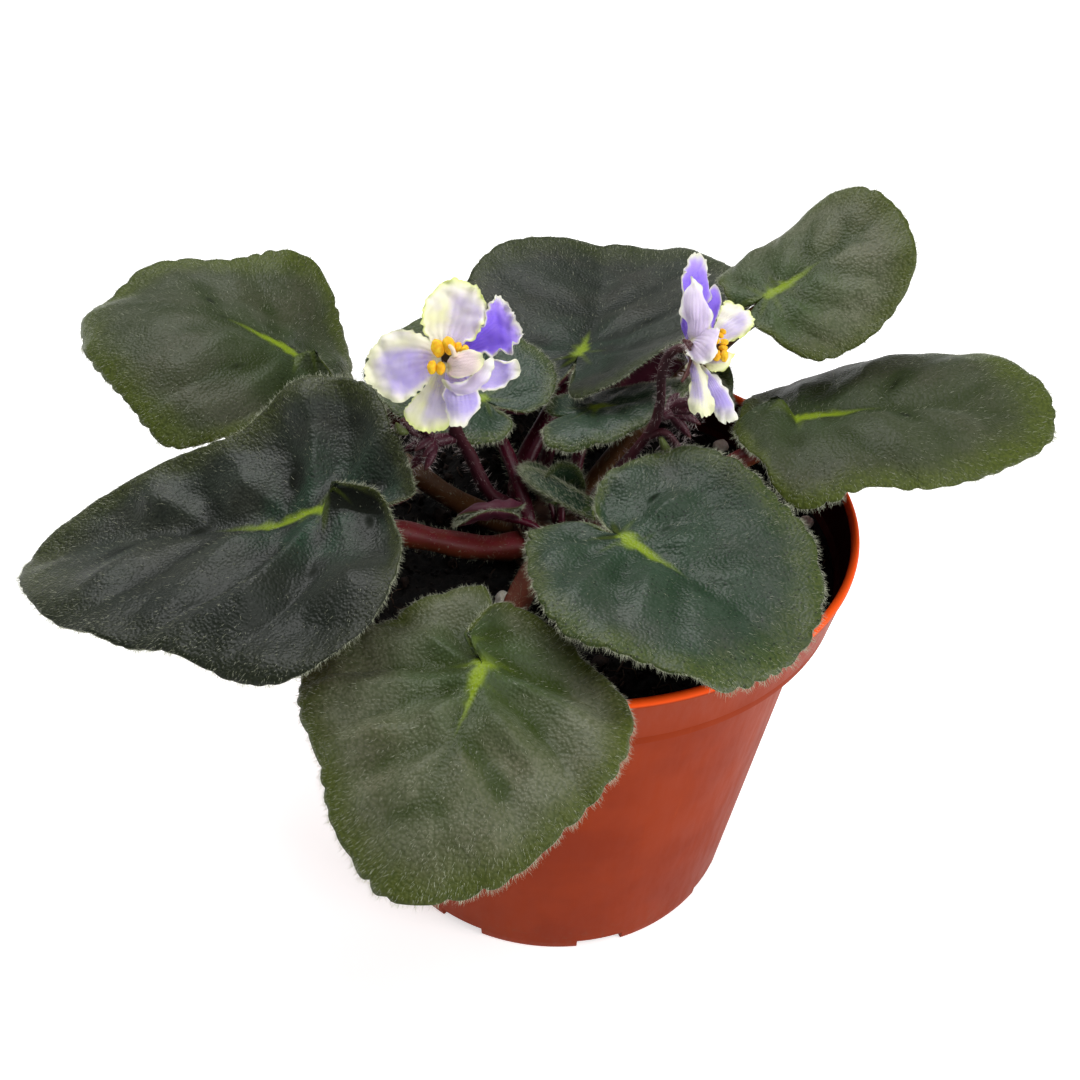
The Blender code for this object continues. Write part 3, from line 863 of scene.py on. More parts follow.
class LeafTone(Enum):
    """The upper-side finishes that the leaves choose from."""

    SLATE = LeafFinish("leaf_slate", (0.003, 0.007, 0.002), (0.025, 0.033, 0.022),
                       (0.034, 0.046, 0.007), (0.034, 0.030, 0.022), 0.6,
                       (0.010, 0.032, 0.016), rough=0.50, gloss=0.27, sheen=0.03)
    # INK paints the left half of its leaf darker as shade.
    INK = LeafFinish("leaf_ink", (0.003, 0.006, 0.002), (0.030, 0.040, 0.028),
                     (0.040, 0.050, 0.008), (0.038, 0.036, 0.026), 0.5,
                     (0.010, 0.048, 0.022), rough=0.48, gloss=0.30, sheen=0.03, left_half_shade=0.8)
    OLIVE = LeafFinish("leaf_olive", (0.020, 0.032, 0.004), (0.060, 0.070, 0.038),
                       (0.075, 0.098, 0.010), (0.068, 0.064, 0.038), 0.5,
                       (0.028, 0.052, 0.014), gloss=0.18, sheen=0.06, dots=0.25)
    MOSS = LeafFinish("leaf_moss", (0.026, 0.042, 0.004), (0.138, 0.146, 0.088),
                      (0.066, 0.084, 0.008), (0.115, 0.108, 0.060), 0.5,
                      (0.034, 0.074, 0.020), gloss=0.22, sheen=0.06, dots=0.2)
    TEAL = LeafFinish("leaf_teal", (0.006, 0.026, 0.007), (0.032, 0.056, 0.033),
                      (0.060, 0.082, 0.010), (0.055, 0.058, 0.045), 0.6,
                      (0.014, 0.044, 0.018), gloss=0.34, sheen=0.06)


class StemTone(Enum):
    """The finishes that the stalks and stems choose from."""

    RED = StemFinish("stalk_red", (0.125, 0.010, 0.014), (0.100, 0.024, 0.006),
                     (0.13, 0.022, 0.016))
    BROWN = StemFinish("stalk_brown", (0.10, 0.024, 0.011), (0.060, 0.012, 0.006),
                       (0.11, 0.032, 0.012))
    TAN = StemFinish("stalk_tan", (0.11, 0.044, 0.011), (0.06, 0.022, 0.008), (0.17, 0.085, 0.025))
    CRIMSON = StemFinish("stalk_crimson", (0.070, 0.002, 0.013), (0.030, 0.001, 0.006),
                         (0.08, 0.006, 0.014), 0.38)
    MAROON = StemFinish("stem_maroon", (0.050, 0.006, 0.012), (0.024, 0.002, 0.006),
                        (0.07, 0.018, 0.012), 0.5)
    CROWN = StemFinish("crown_skin", (0.085, 0.035, 0.016), (0.035, 0.012, 0.008),
                       (0.10, 0.04, 0.02), 0.6)
    CALYX = StemFinish("calyx_skin", (0.085, 0.030, 0.018), (0.055, 0.010, 0.016),
                       (0.08, 0.07, 0.02), 0.55)
    BUD = StemFinish("bud_skin", (0.052, 0.004, 0.014), (0.026, 0.002, 0.007),
                     (0.07, 0.022, 0.016), 0.5)
    BRACT = StemFinish("bract_skin", (0.11, 0.15, 0.03), (0.06, 0.07, 0.02),
                       (0.09, 0.09, 0.03), 0.5)


class HairTone(Enum):
    """The finishes that the hairs choose from."""

    LEAF = HairFinish("leaf_hair", (0.46, 0.48, 0.34))
    STEM = HairFinish("stem_hair", (0.66, 0.56, 0.54))


class Grain(Enum):
    """The finishes that the small mottled things choose from."""

    PEAT = SpeckledFinish("peat", (0.005, 0.0035, 0.0025), (0.001, 0.001, 0.001), 1.4, 0.95, 0.5)
    CRUMB = SpeckledFinish("crumb", (0.009, 0.006, 0.004), (0.002, 0.001, 0.001), 0.5, 0.9, 0.2)
    BARK = SpeckledFinish("bark", (0.024, 0.012, 0.007), (0.006, 0.003, 0.002), 0.6, 0.8, 0.25)
    FIBRE = SpeckledFinish("fibre", (0.050, 0.028, 0.015), (0.015, 0.008, 0.005), 0.8, 0.8, 0.05)
    PERLITE = SpeckledFinish("perlite", (0.98, 0.96, 0.86), (0.82, 0.78, 0.62), 0.5, 0.8, 0.12)
    ANTHER = SpeckledFinish("anther", (0.93, 0.62, 0.03), (0.84, 0.38, 0.01), 0.8, 0.5, 0.08)
    PISTIL = SpeckledFinish("pistil", (0.86, 0.78, 0.66), (0.80, 0.62, 0.45), 1.5, 0.5, 0.02)


class Bloom(Enum):
    """The finishes that the petals choose from."""

    CREAM = PetalFinish("petal_cream", (0.98, 0.94, 0.78), (0.48, 0.36, 0.86), 0.4,
                        (0.76, 0.88, 0.22), 0.6, 1.1, 0.75)
    BAND = PetalFinish("petal_band", (0.95, 0.90, 0.80), (0.29, 0.16, 0.92), 0.7,
                       (0.93, 0.94, 0.58), 0.25, 0.95, 0.45)
    LILAC = PetalFinish("petal_lilac", (0.92, 0.86, 0.90), (0.32, 0.20, 0.88), 0.6,
                        (0.94, 0.95, 0.64))
    PURPLE = PetalFinish("petal_purple", (0.46, 0.32, 0.88), (0.16, 0.05, 0.80), 1.0,
                         (0.92, 0.95, 0.60))
    BLUSH = PetalFinish("petal_blush", (0.90, 0.84, 0.88), (0.62, 0.46, 0.84), 0.45,
                        (0.95, 0.95, 0.74))
    STREAK = PetalFinish("petal_streak", (0.94, 0.90, 0.86), (0.32, 0.19, 0.88), 1.0,
                         (0.95, 0.95, 0.72), -0.1, 1.1)
    SPOT = PetalFinish("petal_spot", (0.97, 0.95, 0.74), (0.36, 0.22, 0.86), 0.6,
                       (0.93, 0.95, 0.56), -0.5, 0.95, 0.4)
    PALE = PetalFinish("petal_pale", (0.94, 0.82, 0.66), (0.80, 0.60, 0.72), 0.6, glow=0.2)


class Finish(Protocol):
    """What every finish has: a name, and a way to make its material."""

    name: str

    def material(self) -> Material:
        """Return the finish's material."""


class Palette:
    """Makes each finish's material once and hands it out again after that."""

    def __init__(self) -> None:
        """Start with no materials made."""
        self.made: dict[str, Material] = {}

    def __call__(self, finish: Finish | Enum) -> list[Material]:
        """Return the material of a finish.

        Args:
            finish: The finish, or a named option that holds it.

        Returns:
            The material, as a list of one.
        """
        finish = finish.value if isinstance(finish, Enum) else finish
        if finish.name not in self.made:
            self.made[finish.name] = finish.material()
        return [self.made[finish.name]]


# ---------------------------------------------------------------- leaves


@dataclass(frozen=True)
class Half:
    """One half of a leaf: its reach from the notch at each inner spoke, its fold and its curl."""

    reach: tuple[float, ...]
    fold: float
    curl: float


def top_base(bearing: float, reach: float, height: float = CROWN_TOP + STANDOFF) -> Point:
    """Return the foot of a stalk at a bearing, a reach and a height from the crown's middle."""
    angle = math.radians(bearing)
    return CROWN_X + reach * math.cos(angle), CROWN_Y + reach * math.sin(angle), height


def ring_base(bearing: float) -> Point:
    """Return the foot of an outer stalk, on the crown's side."""
    return top_base(bearing, CROWN_RADIUS + STANDOFF, RING_HEIGHT)


@dataclass(frozen=True)
class BladeGrid:
    """The points of a smooth blade, spoke by spoke, with one value in each array for each point.

    They hold the signed angle off the midrib in radians, the share of the reach, the flat
    distances from the notch, along the midrib and across it, the point's place, and the flat
    distances to the nearest side vein and to the midrib.
    """

    theta: Array
    part: Array
    radius: Array
    along: Array
    across: Array
    flat: Array
    lateral: Array
    midrib: Array

    @property
    def nearest(self) -> Array:
        """Return the distance to the nearest vein of any kind."""
        return np.minimum(self.lateral, self.midrib)


@dataclass(frozen=True)
class Leaf:
    """A stalked, heart-shaped leaf, set by its notch and by how it lies from there.

    The heading, pitch and roll are the midrib's at the notch, and the swerve, droop and twist
    how much each of them has changed at its tip. roll_over gives which lobe rolls up beside the
    notch, as the sign of its side, by how many degrees, and how far it leans over, in
    millimetres. A leaf that isn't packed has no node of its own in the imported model.
    """

    name: str
    notch: Point
    heading: float
    pitch: float
    droop: float
    roll: float
    twist: float
    swerve: float
    length: float
    left: Half
    right: Half
    base: Point
    stalk_radius: float
    tone: LeafTone
    stem: StemTone
    quilt: float = 1.2
    teeth: float = 0.6
    wave: float = 0.7
    streak: float = 16.0
    roll_over: tuple[float, float, float] = (1.0, 0.0, 0.0)
    roll_reach: float = 14.0
    hairs: int = 4200
    across: int = 280
    rings: int = 36
    seed: int = 1
    packed: bool = True

    def spine(self, along: Array) -> tuple[Array, Array, Array]:
        """Return the midrib's points, sideways directions and normals.

        Args:
            along: Distances from the notch, which may be negative.

        Returns:
            Three arrays of vectors.
        """
        start = math.radians(self.pitch)
        bend = math.radians(self.droop) / self.length
        front, behind = np.maximum(along, 0.0), np.minimum(along, 0.0)
        run, rise = arc(np.full_like(along, start), bend, front)
        run, rise = run + behind * math.cos(start), rise + behind * math.sin(start)
        pitch = start + bend * front
        heading = math.radians(self.heading)
        turn = math.radians(self.swerve) * along / self.length
        middle = heading + turn / 2
        zero = np.zeros_like(along)
        point = np.array(self.notch) + np.stack(
            [run * np.cos(middle), run * np.sin(middle), rise], -1)
        ahead = np.stack([np.cos(heading + turn), np.sin(heading + turn), zero], -1)
        level = np.stack([-ahead[..., 1], ahead[..., 0], zero], -1)
        upright = UP * np.cos(pitch)[..., None] - ahead * np.sin(pitch)[..., None]
        roll = np.radians(self.roll + self.twist * along / self.length)[..., None]
        side = level * np.cos(roll) + upright * np.sin(roll)
        return point, side, upright * np.cos(roll) - level * np.sin(roll)

    def reach(self, angle: Array) -> Array:
        """Return how far the blade reaches, without its teeth.

        Args:
            angle: Signed angles off the midrib, in degrees.

        Returns:
            The reach from the notch at each angle.
        """
        spokes = np.array(SPOKES)
        knots = np.concatenate([-spokes[:0:-1], spokes])
        right = np.array((*self.right.reach, 0.0))[::-1]
        values = np.concatenate([right, [self.length], self.left.reach, [0.0]])
        return np.maximum(hermite(knots, values, angle), 0.4)

    def surface(self, along: Array, across: Array) -> Array:
        """Return the points of the blade's middle layer.

        Args:
            along: Flat distances along the midrib from the notch.
            across: Flat distances from the midrib, positive on the left.

        Returns:
            An array of points.
        """
        point, side, normal = self.spine(along)
        out, lift = np.zeros((2, *across.shape))
        width = np.abs(across)
        for half, sign in ((self.left, 1.0), (self.right, -1.0)):
            here = across * sign >= 0
            fold = math.radians(half.fold)
            bend = math.radians(half.curl) / half.reach[3]
            run, rise = arc(np.full_like(width, fold), bend, width)
            rise = rise - math.sin(fold) * CREASE * (1.0 - np.exp(-width / CREASE))
            out = np.where(here, sign * run, out)
            lift = np.where(here, rise, lift)
        return point + side * out[..., None] + normal * lift[..., None]

    def veins(self) -> list[Array]:
        """Return the side veins of one half.

        Returns:
            Their flat routes, as points along and away from the midrib.
        """
        starts = ((0.0, 150), (0.0, 106), (0.09, 78), (0.36, 68), (0.64, 56))
        run = np.linspace(0.0, 0.85 * self.length, 20)
        routes = []
        for number, (start, angle) in enumerate(starts):
            slope = math.radians(angle)
            sway = 0.012 * self.length * np.sin(run / self.length * 11.0 + number)
            forward = run * math.cos(slope) + 0.7 * run**2 / self.length + sway
            routes.append(np.stack([start * self.length + forward, run * math.sin(slope)], -1))
        return routes

    def vein_distance(self, along: Array, across: Array) -> tuple[Array, Array]:
        """Return the distances to the nearest lateral vein, which fades outward, and to the midrib.

        Args:
            along: Flat distances along the midrib from the notch.
            across: Flat distances from the midrib, positive on the left.

        Returns:
            The two distances.
        """
        offset = 0.02 * self.length * np.sign(across)
        flat = np.stack([along + offset, np.abs(across)], -1)
        best = np.full(along.shape, FAR)
        for route in self.veins():
            count = len(route) - 1
            for step, (start, end) in enumerate(zip(route, route[1:])):
                leg = end - start
                share = np.clip(((flat - start) @ leg) / (leg @ leg), 0.0, 1.0)
                gap = np.linalg.norm(flat - start - share[..., None] * leg, axis=-1)
                fading = 0.16 * self.length * ease(0.30, 0.90, (step + share) / count)
                best = np.minimum(best, gap + fading)
        return best, np.where(along >= 0, np.abs(across), np.hypot(along, across))

    def rolled(self, grid: BladeGrid, normal: Array) -> tuple[Array, Array]:
        """Return how one lobe's edge rises beside the notch and leans over it.

        Args:
            grid: The smooth blade.
            normal: The smooth blade's normal at each point.

        Returns:
            A shift for each point, and how deep in the pit under the edge each point is, which
            weighs the near-black painted shade there.
        """
        sign, curl, inward = self.roll_over
        near = ease(100.0, 140.0, np.degrees(grid.theta) * sign)
        gap = np.abs(grid.across)
        reach = self.roll_reach
        window = near * ease(0.0, 0.16 * reach, grid.radius)
        window *= ease(reach, 0.55 * reach, grid.radius)
        share = np.clip(1.0 - gap / ROLL_WIDTH, 0.0, 1.0)
        turn = np.maximum(math.radians(curl) * window * share, 1e-6)
        lean = inward * window * ease(2.2 * ROLL_WIDTH, 0.8 * ROLL_WIDTH, gap)
        run = ROLL_WIDTH * share * (np.sin(turn) / turn - 1.0) + lean
        rise = ROLL_WIDTH * share * (1.0 - np.cos(turn)) / turn + 0.5 * lean
        side = self.spine(grid.along)[1]
        shift = normal * rise[..., None] - side * (sign * run)[..., None]
        # The pit under the rolled edge, whose weight paints near-black shade there.
        hollow_shade = window * ease(0.05, 0.4, share) * ease(1.0, 0.85, share)
        return shift, hollow_shade * min(curl / 80.0, 1.0) ** 2

    @property
    def breadth(self) -> float:
        """Return how far a puff's slope reaches from a vein."""
        return 1.0 + 0.085 * self.length

    def grid(self) -> BladeGrid:
        """Lay out the smooth blade, with its teeth.

        Returns:
            Its points, spoke by spoke.
        """
        angle = np.linspace(-SINUS, SINUS, self.across)
        share = np.linspace(0.03, 1.0, self.rings) ** 0.85
        theta, part = np.meshgrid(np.radians(angle), share, indexing="ij")
        radius = self.toothed(angle)[:, None] * part
        along, across = radius * np.cos(theta), radius * np.sin(theta)
        return BladeGrid(theta, part, radius, along, across, self.surface(along, across),
                         *self.vein_distance(along, across))

    def relief(self, grid: BladeGrid) -> Array:
        """Return how high the quilted blade stands over the smooth one.

        Args:
            grid: The smooth blade.

        Returns:
            The height at each point.
        """
        puff = 1.0 - np.exp(-((grid.nearest / self.breadth) ** 2))
        puff *= 1.0 + 0.45 * ripple(grid.flat, 0.30 * self.length, self.seed)
        fade = 1.0 - 0.60 * ease(0.15 * self.length, 0.85 * self.length, grid.along)
        fade *= 1.0 - 0.8 * grid.part**5
        swell = 0.10 * ripple(grid.flat, 5.0, self.seed + 5)
        swell += self.wave * grid.part**4 * ripple(grid.flat, 17.0, self.seed + 9)
        return (self.quilt * fade * (puff - 0.70) + swell) * self.settled(grid.radius)

    def marks(self, grid: BladeGrid, hollow_shade: Array) -> dict[str, Array]:
        """Return what the blade's finishes read at each point of a face.

        Args:
            grid: The smooth blade.
            hollow_shade: How deep in the pit under the rolled edge each point is, for the painted
                shade there.

        Returns:
            The marks "leaf" and "vein".
        """
        # The furrows' weight: painted shade in the creases of the upper face, paler raised veins on
        # the lower face.
        furrow = np.exp(-((grid.nearest / (0.5 * self.breadth)) ** 2))
        furrow *= ease(1.02, 0.5, grid.part)
        furrow *= 0.75 + 0.35 * ripple(grid.flat, 9.0, self.seed + 21)
        # Past one, the pit under a rolled edge is painted near-black shade.
        furrow = np.maximum(furrow, 1.8 * hollow_shade)
        width = 1.25 * ease(self.streak, 0.0, grid.along) + 0.35
        width *= 1.0 + 0.35 * ripple(grid.flat, 2.2, self.seed + 13)
        lime = np.exp(-((grid.midrib / width) ** 2)) * ease(self.streak * 1.2, 0.0, grid.along)
        lime *= ease(-2.0, 0.5, grid.along)
        side_lime = np.exp(-((grid.lateral / 0.8) ** 2)) * ease(10.0, 1.0, grid.radius)
        return {"leaf": np.stack([grid.along, grid.across, grid.part], -1).reshape(-1, 3),
                "vein": np.stack([furrow, lime, side_lime], -1).reshape(-1, 3)}

    def build(self, palette: Palette) -> None:
        """Build the blade, its stalk and their hairs.

        Args:
            palette: The materials.
        """
        grid = self.grid()
        smooth = grid_normals(grid.flat)
        roll, hollow_shade = self.rolled(grid, smooth)
        middle = grid.flat + smooth * self.relief(grid)[..., None] + roll
        normal = grid_normals(middle)
        thick = BLADE_THICKNESS / 2 * (0.28 + 0.72 * np.sqrt(1.0 - grid.part**6))
        rib = 0.9 * np.exp(-((grid.midrib / 1.1) ** 2)) * ease(self.length, 0.0, grid.along)
        rib += 0.35 * np.exp(-((grid.lateral / 0.6) ** 2)) * ease(1.0, 0.5, grid.part)
        rib *= ease(0.3, 3.0, grid.radius)
        rib *= ease(1.0, 0.9, grid.part)
        top = middle + normal * thick[..., None]
        low = middle - normal * (thick + rib)[..., None]
        turned = np.linalg.norm(roll, axis=-1) > 0.4
        self.blade(top, low, self.marks(grid, hollow_shade), turned, palette)
        self.stalk(palette)
        self.coat(top, normal, grid.part, palette)

    def settled(self, radius: Array) -> Array:
        """Return how fully the blade is quilted at distances from its notch, from 0 to 1."""
        return ease(0.0, 0.17 * self.length + 1.5, radius)

    def toothed(self, angle: Array) -> Array:
        """Return the blade's reach with its rounded teeth.

        Args:
            angle: Signed angles off the midrib, in degrees.

        Returns:
            The reach from the notch at each angle.
        """
        reach = self.reach(angle)
        bend = np.radians(angle)
        line = np.stack([reach * np.cos(bend), reach * np.sin(bend)], -1)
        travel = np.concatenate([[0.0], np.cumsum(np.linalg.norm(np.diff(line, axis=0), axis=1))])
        phase = travel / 4.6 + 0.5 * ripple(travel[:, None], 30.0, self.seed + 3)
        tooth = np.abs(np.sin(math.pi * phase)) ** 0.7
        size = 0.6 + 0.4 * ripple(travel[:, None], 14.0, self.seed + 4)
        fade = ease(SINUS, SINUS - 30.0, np.abs(angle))
        return reach + self.teeth * size * (tooth - 0.75) * fade

    def blade(self, top: Array, low: Array, marks: dict[str, Array], turned: Array,
              palette: Palette) -> None:
        """Make the blade's closed skin: the two faces, the margin and the two sides of the sinus.

        Args:
            top: The upper face's points, spoke by spoke.
            low: The lower face's points.
            marks: What to store at each point of a face.
            turned: Whether the edge is turned up at each point of one face.
            palette: The materials.
        """
        spokes, rings = self.across, self.rings
        face = spokes * rings
        grid = grid_quads(spokes, rings)
        upper, lower = grid[:, ::-1], grid + face
        rim = strip(np.arange(spokes) * rings + rings - 1, face)
        edges = [strip(row * rings + np.arange(rings), face)[:, ::turn]
                 for row, turn in ((0, 1), (spokes - 1, -1))]
        centre = 2 * face
        first = np.arange(spokes) * rings
        middles = np.full(spokes - 1, centre)
        fan_up = np.stack([middles, first[1:], first[:-1]], -1)
        fan_low = np.stack([middles + 1, first[:-1] + face, first[1:] + face], -1)
        sides = np.array([[centre, centre + 1, face, 0],
                          [centre + 1, centre, first[-1], first[-1] + face]])
        points = np.vstack([top.reshape(-1, 3), low.reshape(-1, 3),
                            top[:, 0].mean(0), low[:, 0].mean(0)])
        quads = np.vstack([upper, lower, rim, *edges, sides])
        slots = np.zeros(len(quads) + 2 * len(middles))
        slots[len(upper):2 * len(upper)] = 1.0 - turned.ravel()[grid].any(axis=1)
        slots[-len(middles):] = 1.0
        ends = {"leaf": [[0, 0, 0], [0, 0, 0]], "vein": [[0, 1, 0], [1, 0, 0]]}
        stored = {key: np.vstack([mark, mark, ends[key]]) for key, mark in marks.items()}
        skin = Skin(points, quads, np.vstack([fan_up, fan_low]), stored, slots)
        skin.piece(f"leaf_{self.name}_blade", palette(self.tone) + palette(UndersideFinish()),
                   "leaf_purple" if self.name in PURPLE_LEAVES else "leaf_green",
                   (f"leaf_{self.name}",) * self.packed)

    def stalk_route(self) -> Array:
        """Return the stalk's route from the crown to under the notch.

        Returns:
            Its points, which run out under the midrib.
        """
        start = np.array(self.base)
        notch, _, normal = self.spine(np.array([0.0]))
        ahead = unit(self.spine(np.array([1.0]))[0][0] - notch[0])
        drop = self.stalk_radius * 0.75 + BLADE_THICKNESS / 2
        end = notch[0] - normal[0] * drop + ahead * 1.5
        reach = np.linalg.norm(end - start)
        line = unit(end - start)
        if start[2] > CROWN_TOP:
            leave, arrive = unit(line + UP), unit(line + ahead)
        else:
            outward = unit(np.array([start[0] - CROWN_X, start[1] - CROWN_Y, 0.0]))
            leave, arrive = unit(outward + 0.15 * UP), ahead
        shape = [start, start + leave * 0.3 * reach, end - arrive * 0.4 * reach, end]
        route = bezier(shape, np.linspace(0.0, 1.0, STALK_POINTS))
        further = np.array([2.4, 3.4, 4.4, 5.4])
        under, _, upright = self.spine(further)
        sink = 0.70 * self.quilt * self.settled(further) + BLADE_THICKNESS / 2 + np.array(
            [0.70, 0.55, 0.40, 0.25]) * self.stalk_radius
        tail = under - upright * sink[:, None]
        root = start - leave * 1.6
        return np.vstack([root, route, tail])

    def stalk(self, palette: Palette) -> None:
        """Build the stalk, which thins toward the blade and runs out under its midrib.

        Args:
            palette: The materials.
        """
        route = self.stalk_route()
        share = np.linspace(0.0, 1.0, len(route))
        radii = self.stalk_radius * (1.0 - 0.25 * share)
        radii *= 1.0 + 0.05 * ripple(route, 9.0, self.seed + 7)
        radii[-4:] *= (0.85, 0.65, 0.42, 0.15)
        sweep(route, radii, 20, groove=0.16).piece(
            f"stalk_{self.name}_body", palette(self.stem), "stalk",
            (f"stalk_{self.name}",) * self.packed)

    def coat(self, top: Array, normal: Array, part: Array, palette: Palette) -> None:
        """Grow the hairs of the upper face, the margin and the stalk.

        Args:
            top: The upper face's points, spoke by spoke.
            normal: The face's normals.
            part: The share of the reach at each point.
            palette: The materials.
        """
        rng = np.random.default_rng(self.seed)
        outward = unit(np.gradient(top, axis=1))
        quads = grid_quads(self.across, self.rings)
        flat, lie, up = top.reshape(-1, 3), outward.reshape(-1, 3), normal.reshape(-1, 3)
        weight = 0.5 + 3.0 * part.reshape(-1)[quads[:, 0]] ** 6
        place, cell = scatter(flat, quads, self.hairs, weight, rng)
        corner = quads[cell, 0]
        coats = [hairs(place, up[corner], lie[corner], FINE, rng)]
        margin = top[:, -1]
        length = np.linalg.norm(np.diff(margin, axis=0), axis=1)
        count = int(length.sum() * FRINGE_DENSITY)
        spot = rng.choice(len(length), size=count, p=length / length.sum())
        share = rng.random(count)[:, None]
        feet = margin[spot] * (1 - share) + margin[spot + 1] * share
        level = outward[:, -1][spot]
        tilt = rng.uniform(-0.9, 0.7, count)[:, None]
        coats.append(hairs(feet, level, normal[:, -1][spot] * tilt, FRINGE, rng))
        coats.append(stem_hairs(self.stalk_route(), self.stalk_radius * 0.87, STALK_DENSITY,
                                BRISTLE, rng))
        Skin.joined(coats).piece(f"leaf_{self.name}_hairs", palette(HairTone.LEAF), "leaf_green",
                                 smooth=False)


def stem_hairs(route: Array, radius: float, density: float, kind: HairKind, rng: Rng) -> Skin:
    """Return hairs that stand out all round a stem.

    Args:
        route: The stem's middle.
        radius: Its radius.
        density: Hairs for each millimetre of stem.
        kind: The coat's kind.
        rng: The source of randomness.

    Returns:
        The hairs' skin.
    """
    legs = np.diff(route, axis=0)
    length = np.linalg.norm(legs, axis=1)
    count = int(length.sum() * density)
    spot = rng.choice(len(legs), size=count, p=length / length.sum())
    ahead = unit(legs[spot])
    around = unit(np.cross(ahead, rng.normal(size=(count, 3))))
    feet = route[spot] + legs[spot] * rng.random(count)[:, None] + around * radius
    return hairs(feet, around, ahead, kind, rng)


